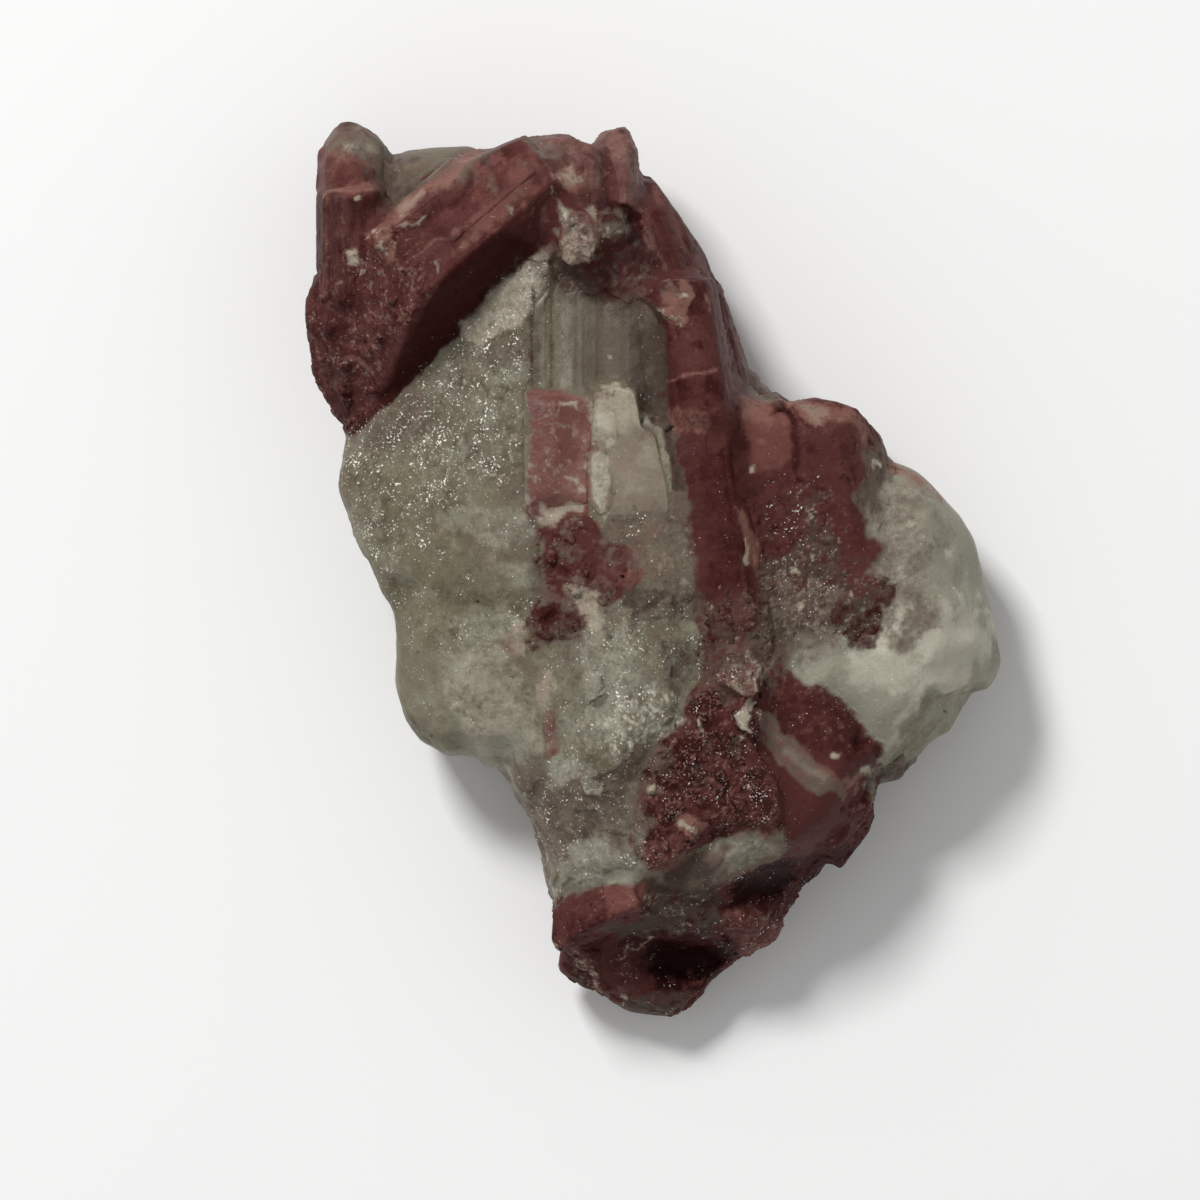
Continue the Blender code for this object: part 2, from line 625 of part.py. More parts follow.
def long_crystal(neighbours):
    lower = prism(
        foot=(736, 700, 10.2), head=(693, 400, 10.9),
        profile=((-32, -3.6), (-35, 0.8), (-22, 3.3), (2, 4.1), (22, 3.3), (32, 0.6), (28, -3.6)),
        breaks=[
            ((732, 690, 13.8), 262, 30),
        ],
    )
    upper = prism(
        foot=(708, 440, 11.3), head=(682, 282, 11.3),
        profile=((-32, -2.6), (-34, 2.4), (-20, 4.6), (6, 5.2), (24, 4.4), (34, 1.6), (30, -2.6)),
        breaks=[
            ((697, 414, 16.3), 262, 36),
            ((684, 292, 16.2), 100, 46),
        ],
    )
    ribs = [
        prism(
            foot=(734, 640, 10.4), head=(704, 430, 11.0),
            profile=((u - 8, 0.0), (u - 7, crest - 0.5), (u, crest), (u + 6, crest - 0.7),
                     (u + 8, 0.0)),
        )
        for u, crest in ((18, 4.4), (-1, 4.5), (-20, 4.0))
    ]
    sliver = prism(
        foot=(760, 580, 9.6), head=(742, 498, 10.0),
        profile=((-8, -2.6), (-9, 3.2), (-2, 4.5), (6, 3.6), (9, -2.6)),
        breaks=[
            ((757, 570, 13.8), 280, 24),
        ],
    )
    head_lump = slab(
        outline=((642, 298), (652, 290), (666, 281), (684, 282), (690, 292), (684, 316),
                 (668, 322)),
        bottom=12.4, top=17.1, lean=(280, 8),
    )
    granular_foot = slab(
        outline=((700, 632), (714, 598), (748, 588), (770, 606), (776, 648), (764, 688),
                 (730, 704), (704, 690)),
        bottom=9.0, top=14.0, lean=(300, 5),
    )
    foot_grains = grains((
        (714, 612, 14.7, 8), (735, 626, 14.6, 8), (753, 612, 14.9, 7), (751, 652, 14.4, 9),
        (722, 664, 14.5, 8), (711, 640, 14.5, 6),
    ))
    members = [lower, upper, *ribs, sliver, head_lump, granular_foot, *foot_grains]
    return crystal("long_crystal", members, RED, neighbours)


def central_crystal(neighbours):
    left_rib = prism(
        foot=(541, 512, 9.0), head=(541, 276, 9.0),
        profile=((-11, -2.6), (-10, 5.2), (-5, 5.9), (6, 6.0), (11, 5.1), (12, -2.6)),
    )
    glassy = prism(
        foot=(576, 512, 9.0), head=(576, 276, 9.0),
        profile=((-25, -2.6), (-24, 5.1), (-19, 5.9), (0, 6.0), (20, 5.4), (30, 4.6), (30, -2.6)),
    )
    smoky = prism(
        foot=(632, 446, 8.8), head=(628, 280, 8.8),
        profile=((-40, -2.4), (-40, 5.3), (-12, 5.4), (16, 4.9), (32, 3.5), (33, -2.4)),
        breaks=[
            ((632, 430, 13.6), 275, 50),
        ],
    )
    rose_block = prism(
        foot=(562, 512, 9.2), head=(561, 388, 9.2),
        profile=((-33, -2.6), (-32.5, 6.2), (-28, 6.6), (6, 6.5), (27, 6.2), (32, 5.5),
                 (32, -2.6)),
        breaks=[
            ((561, 396, 15.5), 88, 42),
            ((562, 506, 15.3), 272, 48),
        ],
    )
    rib = prism(
        foot=(553, 500, 9.2), head=(553, 400, 9.2),
        profile=((-8, 1.0), (-7, 6.7), (4, 6.9), (9, 6.3), (10, 1.0)),
        breaks=[
            ((552, 404, 16.0), 90, 40),
        ],
    )
    members = [left_rib, glassy, smoky, rose_block, rib]
    return crystal("central_crystal", members, SMOKY_ROSE, neighbours)


def middle_crystal(neighbours):
    stub = slab(
        outline=((538, 560), (543, 534), (558, 522), (586, 522), (603, 540), (607, 568),
                 (590, 592), (554, 590)),
        bottom=11.4, top=15.0, lean=(265, 7),
    )
    tongue = slab(
        outline=((588, 550), (604, 541), (634, 562), (641, 578), (622, 592), (594, 598)),
        bottom=11.7, top=14.9, lean=(300, 9),
    )
    lower = slab(
        outline=((537, 612), (552, 584), (592, 584), (614, 592), (607, 610), (583, 620),
                 (578, 638), (560, 644), (542, 636)),
        bottom=11.1, top=14.7, lean=(80, 4),
    )
    broken_grains = grains((
        (570, 536, 15.4, 8), (552, 556, 15.3, 9), (585, 568, 15.2, 10), (576, 590, 15.1, 9),
        (616, 574, 15.1, 8), (600, 598, 15.0, 8), (568, 629, 15.3, 11), (548, 614, 15.1, 8),
    ))
    members = [stub, tongue, lower, *broken_grains]
    return crystal("middle_crystal", members, DARK_RED, neighbours)


def cream_plates():
    upper = slab(
        outline=((594, 404), (601, 392), (620, 388), (634, 393), (641, 432), (636, 446),
                 (598, 446)),
        bottom=12.6, top=16.3, lean=(250, 5),
    )
    lower = slab(
        outline=((592, 440), (642, 430), (658, 436), (664, 452), (667, 492), (672, 514),
                 (600, 517), (589, 500), (588, 468)),
        bottom=12.4, top=16.1, lean=(300, 5),
    )
    bright_head = slab(
        outline=((597, 416), (615, 414), (618, 440), (611, 451), (599, 448)),
        bottom=13.0, top=16.9, lean=(200, 6),
    )
    bright_foot = slab(
        outline=((588, 476), (592, 456), (602, 452), (612, 482), (610, 512), (599, 516),
                 (588, 502)),
        bottom=13.2, top=16.8, lean=(220, 7),
    )
    return crystal("cream_plates", [upper, lower, bright_head, bright_foot], CREAM)


def block_crystal(neighbours):
    block = prism(
        foot=(774, 492, 7.4), head=(762, 400, 7.6),
        profile=((-21, -2.6), (-23, 3.0), (-12, 4.9), (6, 5.2), (18, 3.8), (22, -2.6)),
        breaks=[
            ((764, 412, 12.4), 96, 42),
            ((772, 480, 12.3), 270, 34),
        ],
    )
    return crystal("block_crystal", [block], ROSE, neighbours)


def right_crystal(neighbours):
    broad = prism(
        foot=(850, 560, 7.8), head=(812, 398, 8.0),
        profile=((-26, -3.0), (-27, 2.8), (-14, 4.8), (14, 5.2), (40, 3.8), (61, 0.6),
                 (57, -3.0)),
        breaks=[
            ((836, 424, 12.8), 84, 44),
            ((833, 402, 8.0), 75, 0),
            ((866, 420, 8.0), 42, 0),
            ((887, 449, 8.0), 28, 0),
            ((876, 470, 11.0), 8, 44),
            ((852, 548, 12.4), 268, 30),
        ],
    )
    lower = prism(
        foot=(866, 646, 8.2), head=(840, 500, 8.2),
        profile=((-18, -3.0), (-19, 2.4), (-8, 4.2), (10, 4.4), (20, 3.0), (20, -3.0)),
        breaks=[
            ((866, 636, 12.0), 282, 32),
        ],
    )
    broken_end = slab(
        outline=((838, 604), (862, 580), (880, 576), (897, 580), (893, 598), (880, 604),
                 (874, 644), (856, 646), (842, 628)),
        bottom=8.0, top=12.9, lean=(300, 8),
    )
    return crystal("right_crystal", [broad, lower, broken_end], RED, neighbours)


def fan_crystals(neighbours):
    upper = prism(
        foot=(874, 764, 5.8), head=(766, 680, 10.2),
        profile=((-18, -2.6), (-20, 1.8), (-8, 3.6), (8, 3.7), (18, 2.0), (18, -2.6)),
        breaks=[
            ((868, 762, 9.6), 322, 30),
        ],
    )
    middle = prism(
        foot=(838, 796, 6.2), head=(760, 712, 10.0),
        profile=((-14, -2.6), (-15, 2.8), (-6, 4.1), (6, 4.0), (26, 1.8), (26, -2.6)),
        breaks=[
            ((832, 794, 10.2), 314, 34),
        ],
    )
    outer_break = ((860, 845, 6.0), 323, 0)
    lower = prism(
        foot=(876, 838, 4.6), head=(756, 740, 9.6),
        profile=((-24, -2.4), (-26, 1.6), (-10, 3.7), (8, 3.9), (22, 2.4), (24, -2.4)),
        breaks=[
            ((864, 822, 8.0), 312, 24),
            ((872, 824, 6.0), 350, 0),
            outer_break,
        ],
    )
    foot = prism(
        foot=(858, 858, 4.3), head=(768, 790, 8.4),
        profile=((-18, -2.2), (-20, 1.6), (-6, 3.4), (10, 3.6), (20, 2.0), (20, -2.2)),
        breaks=[
            ((852, 850, 7.0), 308, 20),
            outer_break,
        ],
    )
    chip = slab(
        outline=((838, 786), (852, 768), (872, 770), (876, 796), (866, 812), (846, 812)),
        bottom=5.0, top=9.9, lean=(315, 14),
    )
    flakes = grains((
        (834, 757, 12.0, 9), (848, 802, 10.5, 9), (846, 830, 9.5, 9), (820, 820, 10.9, 8),
        (808, 838, 10.3, 7),
    ))
    members = [upper, middle, lower, foot, chip, *flakes]
    return crystal("fan_crystals", members, RED, neighbours)


def granular_mass(neighbours):
    body = slab(
        outline=((640, 790), (648, 764), (676, 738), (712, 728), (748, 738), (776, 782),
                 (778, 812), (752, 832), (680, 840), (646, 826)),
        bottom=10.0, top=14.7, lean=(285, 7),
        breaks=[
            ((650, 780, 13.8), 190, 46),
            ((700, 834, 13.4), 272, 40),
        ],
    )
    head = slab(
        outline=((690, 704), (708, 688), (748, 690), (762, 712), (756, 750), (716, 760),
                 (690, 742)),
        bottom=10.3, top=14.9, lean=(240, 6),
    )
    tongue = slab(
        outline=((634, 830), (642, 802), (668, 800), (696, 822), (700, 840), (672, 858),
                 (646, 872), (636, 852)),
        bottom=9.7, top=13.7, lean=(250, 12),
    )
    flake = slab(
        outline=((714, 678), (726, 655), (746, 651), (761, 666), (759, 690), (750, 700),
                 (736, 692)),
        bottom=12.0, top=16.1, lean=(60, 12),
    )
    small_flake = slab(
        outline=((728, 709), (745, 707), (758, 718), (751, 734), (737, 728)),
        bottom=12.3, top=16.2, lean=(250, 14),
    )
    mass_grains = grains((
        (654, 788, 14.3, 8), (665, 762, 15.0, 8), (692, 758, 15.4, 9), (720, 775, 15.2, 10),
        (702, 800, 15.0, 8), (738, 802, 15.0, 9), (754, 770, 15.2, 9), (672, 812, 14.9, 8),
        (712, 820, 14.8, 7), (690, 829, 14.6, 11), (700, 720, 15.3, 8), (664, 842, 14.1, 8),
    ))
    members = [body, head, tongue, flake, small_flake, *mass_grains]
    return crystal("granular_mass", members, DARK_RED, neighbours)


def rose_crystal(neighbours):
    head = prism(
        foot=(554, 931, 6.9), head=(650, 892, 8.4),
        profile=((-24, -2.4), (-25, 1.4), (-14, 3.4), (8, 3.8), (22, 1.8), (24, -2.4)),
        breaks=[
            ((566, 926, 10.0), 190, 40),
            ((554, 928, 7.0), 174, -4),
            ((642, 894, 11.8), 10, 40),
        ],
    )
    foot = prism(
        foot=(584, 984, 3.9), head=(590, 930, 5.6),
        profile=((-26, -1.6), (-27, 1.0), (-12, 2.9), (10, 2.8), (20, 1.0), (20, -1.6)),
        breaks=[
            ((582, 978, 5.6), 244, 30),
            ((575, 983, 4.0), 236, -2),
        ],
    )
    return crystal("rose_crystal", [head, foot], ROSE, neighbours)


def clear_scene():
    for item in list(bpy.data.objects):
        bpy.data.objects.remove(item, do_unlink=True)


def main():
    clear_scene()
    diagonal = diagonal_crystal()
    corner = corner_crystal([diagonal])
    crown = crown_crystals([diagonal])
    long_one = long_crystal([crown])
    edge = edge_crystal([crown, long_one])
    plates = cream_plates()
    central = central_crystal([crown, long_one, edge, plates])
    middle = middle_crystal([plates, central])
    block = block_crystal([long_one, edge])
    right = right_crystal([block])
    mass = granular_mass([long_one])
    fan = fan_crystals([long_one, mass])
    rose = rose_crystal([])
    quartz_matrix([
        diagonal, corner, crown, long_one, edge, plates, central, middle, block, right, mass, fan,
        rose,
    ])


main()
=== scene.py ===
"""The finished looks of a cluster of pink tourmaline crystals grown in milky quartz.

The cluster lies on its broad back and is seen from straight above. Its plan is read in
pixels, x to the right and y down, as its source reads it, and Plan turns them into metres.
"""

import logging
import math
from dataclasses import dataclass, field, replace
from enum import Enum
from itertools import product

import bmesh
import bpy
import numpy as np
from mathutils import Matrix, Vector
from mathutils.bvhtree import BVHTree


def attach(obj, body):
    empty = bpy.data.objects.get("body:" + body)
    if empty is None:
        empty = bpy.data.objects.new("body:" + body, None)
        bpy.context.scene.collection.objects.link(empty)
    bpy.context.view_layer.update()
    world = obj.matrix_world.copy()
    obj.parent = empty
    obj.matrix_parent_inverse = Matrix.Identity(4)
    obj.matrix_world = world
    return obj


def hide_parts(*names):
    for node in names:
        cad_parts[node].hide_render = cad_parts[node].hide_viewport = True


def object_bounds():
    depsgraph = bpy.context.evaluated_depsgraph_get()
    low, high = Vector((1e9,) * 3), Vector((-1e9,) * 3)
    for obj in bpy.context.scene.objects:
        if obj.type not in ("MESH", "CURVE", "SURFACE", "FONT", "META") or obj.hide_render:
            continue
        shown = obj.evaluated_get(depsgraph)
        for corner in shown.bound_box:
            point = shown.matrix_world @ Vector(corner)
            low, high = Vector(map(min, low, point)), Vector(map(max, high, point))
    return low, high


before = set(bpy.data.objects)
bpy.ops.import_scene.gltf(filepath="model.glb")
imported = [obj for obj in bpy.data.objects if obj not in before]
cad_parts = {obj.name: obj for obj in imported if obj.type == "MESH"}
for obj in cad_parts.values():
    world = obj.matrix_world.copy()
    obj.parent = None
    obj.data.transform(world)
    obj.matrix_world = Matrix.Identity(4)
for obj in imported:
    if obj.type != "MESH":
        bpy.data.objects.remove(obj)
BOX = np.array([list(corner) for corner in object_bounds()])

LOG = logging.getLogger("specimen")

# Driving dimensions, in metres, and the plan's grid, in pixels
SPECIMEN_LENGTH = 0.054
MM = 0.001
PLAN_LENGTH_PX = 899.0
PLAN_CENTRE_PX = (654.5, 571.5)
PICTURE_PX = 1200.0
PIXEL = SPECIMEN_LENGTH / PLAN_LENGTH_PX

# How far the contact between two minerals reaches, and how the two swell there
CONTACT_GAP = 0.45 * MM
CONTACT_FADE = 0.25 * MM
CONTACT_REACH = CONTACT_GAP + CONTACT_FADE
CONTACT_OVERLAP = 0.06 * MM
CONTACT_SWELL = 0.12 * MM
WELD = 1e-6
BOX_MARGIN = 0.005 * MM
SKYLINE_STEP = 0.2 * MM
LEAST_SHARE = 0.02

# How an area breaks into clouds: how soft their edges are, and how much of it they cover
LARGE_CLOUD = 1.2 * MM
LEAST_BLEND = 0.3
BLEND_SPAN = 0.35
BLEND_LIFT = 0.3
CLOUD_LEVEL = 0.02
CLOUD_SALT = 71

HALF = Vector((0.5, 0.5, 0.5))

Point = tuple[float, float]
Colour = tuple[float, float, float]


def seen(red: int, green: int, blue: int) -> Colour:
    """The linear base colour that shows as this screen colour in the studio's light.

    Args:
        red: Red on screen, 0 to 255.
        green: Green on screen, 0 to 255.
        blue: Blue on screen, 0 to 255.

    Returns:
        The three linear values.
    """
    return tuple(
        share / 12.92 if share <= 0.04045 else ((share + 0.055) / 1.055) ** 2.4
        for share in (red / 255, green / 255, blue / 255)
    )


class Tint(Enum):
    """The tints laid over a mineral's own colour, by the colour that each shows as."""

    FOG = (106, 92, 81)
    MILK = (148, 145, 129)
    CREAM = (168, 157, 139)
    FROST = (182, 178, 162)
    SMOKE = (78, 66, 58)
    OLIVE = (114, 107, 86)
    ROSE = (112, 70, 64)
    SALMON = (130, 92, 82)
    WINE = (84, 47, 44)
    BLOOD = (60, 26, 24)
    DUSK = (34, 12, 10)

    @property
    def attribute(self) -> str:
        """The name of the attribute that holds its share."""
        return self.name.lower()

    @property
    def colour(self) -> Colour:
        """Its linear base colour."""
        return seen(*self.value)


# Noise and places on the plan


class Noise:
    """Repeatable noise over many points at once."""

    @staticmethod
    def lot(cells: np.ndarray, salt: int) -> np.ndarray:
        """One number for each cell of a lattice, the same at every run.

        Args:
            cells: Whole coordinates, three to a row.
            salt: Which of the independent draws to take.

        Returns:
            Numbers from 0 to 1.
        """
        whole = cells.astype(np.int64).astype(np.uint64)
        mixed = (
            whole[:, 0] * np.uint64(374761393)
            + whole[:, 1] * np.uint64(668265263)
            + whole[:, 2] * np.uint64(2147483647)
            + np.uint64(1274126177 * (salt + 1))
        )
        mixed ^= mixed >> np.uint64(31)
        mixed *= np.uint64(0x9E3779B97F4A7C15)
        mixed ^= mixed >> np.uint64(29)
        mixed *= np.uint64(0xBF58476D1CE4E5B9)
        return (mixed >> np.uint64(40)).astype(float) / 2.0**24

    @classmethod
    def smooth(cls, points: np.ndarray, size: float, salt: int) -> np.ndarray:
        """Soft lumps of one size.

        Args:
            points: Positions, three to a row.
            size: The lumps' size, in the positions' unit.
            salt: Which of the independent draws to take.

        Returns:
            Heights from -1 to 1.
        """
        scaled = points / size
        home = np.floor(scaled)
        share = scaled - home
        share = share * share * (3 - 2 * share)
        total = np.zeros(len(points))
        for corner in product((0, 1), repeat=3):
            weight = np.prod(np.where(corner, share, 1 - share), axis=1)
            total += weight * cls.lot(home + corner, salt)
        return 2 * total - 1

    @classmethod
    def cloud(cls, points: np.ndarray, size: float, salt: int, octaves: int = 3) -> np.ndarray:
        """Soft lumps with smaller ones on them.

        Args:
            points: Positions, three to a row.
            size: The largest lumps' size, in the positions' unit.
            salt: Which of the independent draws to take.
            octaves: How many sizes there are, each half the last.

        Returns:
            Heights from about -1 to 1.
        """
        total = np.zeros(len(points))
        for octave in range(octaves):
            total += cls.smooth(points, size / 2**octave, salt + 11 * octave) / 2**octave
        return total / (2 - 2.0 ** (1 - octaves))

    @classmethod
    def shards(cls, points: np.ndarray, size: float, salt: int) -> np.ndarray:
        """Flat broken faces, one to a cell, each tilted its own way.

        Args:
            points: Positions, three to a row.
            size: The faces' size, in the positions' unit.
            salt: Which of the independent draws to take.

        Returns:
            Heights from about -1 to 1.
        """
        scaled = points / size
        home = np.floor(scaled)
        nearest = np.full(len(points), np.inf)
        height = np.zeros(len(points))
        for step in product((-1, 0, 1), repeat=3):
            cell = home + step
            seed = np.stack([cls.lot(cell, salt + axis) for axis in range(3)], axis=1)
            away = scaled - cell - seed
            distance = (away**2).sum(axis=1)
            closer = distance < nearest
            nearest[closer] = distance[closer]
            tilt = np.stack([cls.lot(cell[closer], salt + 3 + axis) for axis in range(3)], axis=1)
            height[closer] = (away[closer] * (2 * tilt - 1)).sum(axis=1)
        return height


def eased(share: np.ndarray) -> np.ndarray:
    """A share held between 0 and 1, with soft ends."""
    held = np.clip(share, 0, 1)
    return held * held * (3 - 2 * held)


class Plan:
    """Positions and their places on the plan, in pixels."""

    def __init__(self, points: np.ndarray, up: np.ndarray | None = None) -> None:
        """Reads the plan places of some positions.

        Args:
            points: Positions in metres, three to a row.
            up: How far each faces up, from -1 to 1; all of them if left out.
        """
        self.points = points
        self.x = points[:, 0] / PIXEL + PLAN_CENTRE_PX[0]
        self.y = PLAN_CENTRE_PX[1] - points[:, 1] / PIXEL
        self.stray_x = 1.6 * Noise.cloud(points, 1.5 * MM, 301, 4)
        self.stray_y = 1.6 * Noise.cloud(points, 1.5 * MM, 401, 4)
        self.shown = np.ones(len(points)) if up is None else eased((up + 0.6) / 0.4)

    def part(self, chosen: np.ndarray) -> "Plan":
        """Some of the positions.

        Args:
            chosen: True for each one that is kept.

        Returns:
            Their own plan.
        """
        made = object.__new__(Plan)
        for name, values in self.__dict__.items():
            setattr(made, name, values[chosen])
        return made

    def strayed(self, ragged: float) -> tuple[np.ndarray, np.ndarray]:
        """The places moved about by up to some pixels, for an uneven border."""
        return self.x + ragged * self.stray_x, self.y + ragged * self.stray_y


def edge_distance(x: np.ndarray, y: np.ndarray, start: Point, end: Point) -> np.ndarray:
    """How far places are from a straight line between two others.

    Args:
        x: The places' first coordinate, in pixels.
        y: Their second.
        start: One end of the line.
        end: The other.

    Returns:
        The distances in pixels.
    """
    along_x = end[0] - start[0]
    along_y = end[1] - start[1]
    length = max(along_x**2 + along_y**2, 1e-9)
    share = np.clip(((x - start[0]) * along_x + (y - start[1]) * along_y) / length, 0, 1)
    return np.hypot(x - start[0] - share * along_x, y - start[1] - share * along_y)


@dataclass(frozen=True)
class Area:
    """A place on the plan with a soft uneven border, in pixels.

    Where broken is above zero, the area breaks into clouds of that size, in metres.
    """

    points: tuple[Point, ...] = ()
    soft: float = 7.0
    ragged: float = 14.0
    width: float = 0.0
    broken: float = 0.0
    salt: int = CLOUD_SALT

    def share(self, plan: Plan) -> np.ndarray:
        """How far inside each point is.

        Args:
            plan: The points' places on the plan.

        Returns:
            Shares from 0 to 1.
        """
        reach = self.soft + self.width + 1.5 * self.ragged
        corners = np.array(self.points)
        chosen = (
            (plan.x > corners[:, 0].min() - reach)
            & (plan.x < corners[:, 0].max() + reach)
            & (plan.y > corners[:, 1].min() - reach)
            & (plan.y < corners[:, 1].max() + reach)
        )
        shares = np.zeros(len(plan.x))
        if chosen.any():
            part = plan.part(chosen)
            x, y = part.strayed(self.ragged)
            shares[chosen] = eased(0.5 + self.depth(x, y) / (2 * self.soft))
            if self.broken:
                cloud = Noise.cloud(part.points, self.broken, self.salt, 4)
                blend = LEAST_BLEND + BLEND_SPAN * min(1.0, self.broken / LARGE_CLOUD)
                lifted = cloud + BLEND_LIFT * (blend - LEAST_BLEND)
                shares[chosen] *= eased((lifted - CLOUD_LEVEL) / blend)
        return shares

    def depth(self, x: np.ndarray, y: np.ndarray) -> np.ndarray:
        """How deep inside each place is, in pixels, and below zero outside."""
        raise NotImplementedError


@dataclass(frozen=True)
class Patch(Area):
    """A closed outline."""

    def depth(self, x: np.ndarray, y: np.ndarray) -> np.ndarray:
        """How deep inside each place is.

        Args:
            x: The places' first coordinate, in pixels.
            y: Their second.

        Returns:
            Depths in pixels, below zero outside.
        """
        inside = np.zeros(len(x), bool)
        nearest = np.full(len(x), np.inf)
        for start, end in zip(self.points, self.points[1:] + self.points[:1]):
            nearest = np.minimum(nearest, edge_distance(x, y, start, end))
            if start[1] != end[1]:
                slope = (end[0] - start[0]) / (end[1] - start[1])
                beyond = (start[1] > y) != (end[1] > y)
                inside ^= beyond & (x < start[0] + (y - start[1]) * slope)
        return np.where(inside, nearest, -nearest)


@dataclass(frozen=True)
class Streak(Area):
    """A line with a width, or a spot where it has one point."""

    def depth(self, x: np.ndarray, y: np.ndarray) -> np.ndarray:
        """How deep inside each place is.

        Args:
            x: The places' first coordinate, in pixels.
            y: Their second.

        Returns:
            Depths in pixels, below zero outside.
        """
        nearest = np.full(len(x), np.inf)
        for start, end in zip(self.points, self.points[1:] or self.points):
            nearest = np.minimum(nearest, edge_distance(x, y, start, end))
        return self.width / 2 - nearest


@dataclass(frozen=True)
class Everywhere(Area):
    """The whole of a piece."""

    def share(self, plan: Plan) -> np.ndarray:
        """One at every point."""
        return np.ones(len(plan.x))


@dataclass(frozen=True)
class Drift(Area):
    """Clouds that reach all the way round a piece."""

    size: float = 3 * MM
    level: float = 0.1
    blend: float = 0.25
    salt: int = 51

    def share(self, plan: Plan) -> np.ndarray:
        """How deep in a cloud each point is, from 0 to 1."""
        return eased((Noise.cloud(plan.points, self.size, self.salt) - self.level) / self.blend)


@dataclass(frozen=True)
class Wash:
    """One tint over one area."""

    tint: Tint
    area: Area
    strength: float = 1.0


def places(course: str) -> tuple[Point, ...]:
    """The places, in pixels, that a course such as "310,196 398,118" goes through."""
    return tuple(tuple(float(value) for value in place.split(",")) for place in course.split())


def within(outline: str, **border: float) -> Patch:
    """The inside of an outline whose corners are given as a course."""
    return Patch(places(outline), **border)


def along(course: str, width: float, **border: float) -> Streak:
    """A line of some width along a course, or a spot where it has one place."""
    return Streak(places(course), width=width, **{"soft": 2.5, "ragged": 6.0, **border})


def patch(tint: Tint, strength: float, outline: str, **border: float) -> Wash:
    """One tint of some strength inside an outline."""
    return Wash(tint, within(outline, **border), strength)


def cloud(
    tint: Tint,
    strength: float,
    outline: str,
    size: float,
    salt: int = CLOUD_SALT,
    **border: float,
) -> Wash:
    """One tint in clouds inside an outline.

    Args:
        tint: The tint.
        strength: How much of it.
        outline: Where the clouds are, as a course in pixels.
        size: The clouds' size, in millimetres.
        salt: Which of the independent draws to take.
        border: The outline's softness and raggedness, in pixels.

    Returns:
        The wash.
    """
    return patch(tint, strength, outline, broken=size * MM, salt=salt, **border)


def line(tint: Tint, strength: float, width: float, course: str, **border: float) -> Wash:
    """One tint of some strength along a line of some width."""
    return Wash(tint, along(course, width, **border), strength)


# Relief worked into the surfaces


@dataclass(frozen=True)
class Swell:
    """Soft swells."""

    size: float
    depth: float
    area: Area = Everywhere()
    salt: int = 1

    def move(self, plan: Plan, normals: np.ndarray) -> np.ndarray:
        """How each point moves, in metres."""
        rise = self.depth * Noise.cloud(plan.points, self.size, self.salt)
        return (rise * self.area.share(plan))[:, None] * normals


@dataclass(frozen=True)
class Shards:
    """Broken faces, each tilted its own way."""

    size: float
    depth: float
    area: Area = Everywhere()
    salt: int = 2

    def move(self, plan: Plan, normals: np.ndarray) -> np.ndarray:
        """How each point moves, in metres."""
        rise = self.depth * Noise.shards(plan.points, self.size, self.salt)
        return (rise * self.area.share(plan))[:, None] * normals


@dataclass(frozen=True)
class Striae:
    """Fine ridges along a prism, on its sides and not on its ends.

    The prism's foot and head are its places on the plan, in pixels, and length is how many
    times longer than wide the ridges are.
    """

    foot: Point
    head: Point
    size: float
    depth: float
    area: Area = Everywhere()
    salt: int = 3
    length: float = 30.0

    def move(self, plan: Plan, normals: np.ndarray) -> np.ndarray:
        """How each point moves.

        Args:
            plan: The points' places on the plan.
            normals: The way each point faces, as unit vectors.

        Returns:
            Moves in metres, three to a row.
        """
        along = np.array([self.head[0] - self.foot[0], self.foot[1] - self.head[1], 0.0])
        along /= np.linalg.norm(along)
        across = np.array([along[1], -along[0], 0.0])
        turned = np.stack(
            [plan.points @ along / self.length, plan.points @ across, plan.points[:, 2]], axis=1
        )
        lines = Noise.cloud(turned, self.size, self.salt)
        rise = self.depth * lines * (1 - (normals @ along) ** 2)
        return (rise * self.area.share(plan))[:, None] * normals


@dataclass(frozen=True)
class Sink:
    """A hollow or groove, or a ridge where its depth is below zero."""

    area: Area
    depth: float

    def move(self, plan: Plan, normals: np.ndarray) -> np.ndarray:
        """How each point moves, in metres."""
        return (-self.depth * self.area.share(plan))[:, None] * normals


@dataclass(frozen=True)
class Shallow:
    """A hollow made shallower, its bed lifted straight up towards a level.

    The share of its depth in keep is kept, for as far down as depth.
    """

    area: Area
    level: float
    keep: float = 0.4
    depth: float = 2 * MM
    rim_height: float = 3 * MM

    def lift(self, plan: Plan) -> np.ndarray:
        """How far up each point moves.

        Args:
            plan: The points' places on the plan.

        Returns:
            Lifts in metres, none at the height of the floor.
        """
        below = np.maximum(self.level - plan.points[:, 2], 0)
        lift = below - self.keep * np.minimum(below, self.depth)
        return lift * eased(plan.points[:, 2] / self.rim_height) * self.area.share(plan)


@dataclass(frozen=True)
class Pressed:
    """A high place pressed down towards a level, the share of its height in keep kept."""

    area: Area
    level: float
    keep: float = 0.35

    def move(self, plan: Plan, normals: np.ndarray) -> np.ndarray:
        """How each point moves.

        Args:
            plan: The points' places on the plan.
            normals: The way each point faces, as unit vectors; not used.

        Returns:
            Moves in metres, three to a row.
        """
        above = np.maximum(plan.points[:, 2] - self.level, 0)
        fall = (1 - self.keep) * above * self.area.share(plan)
        return fall[:, None] * np.array([0.0, 0.0, -1.0])


Reliefs = tuple[Swell | Shards | Striae | Sink | Pressed, ...]
Grits = tuple[tuple[Area, float], ...]


# Shader expressions and finishes


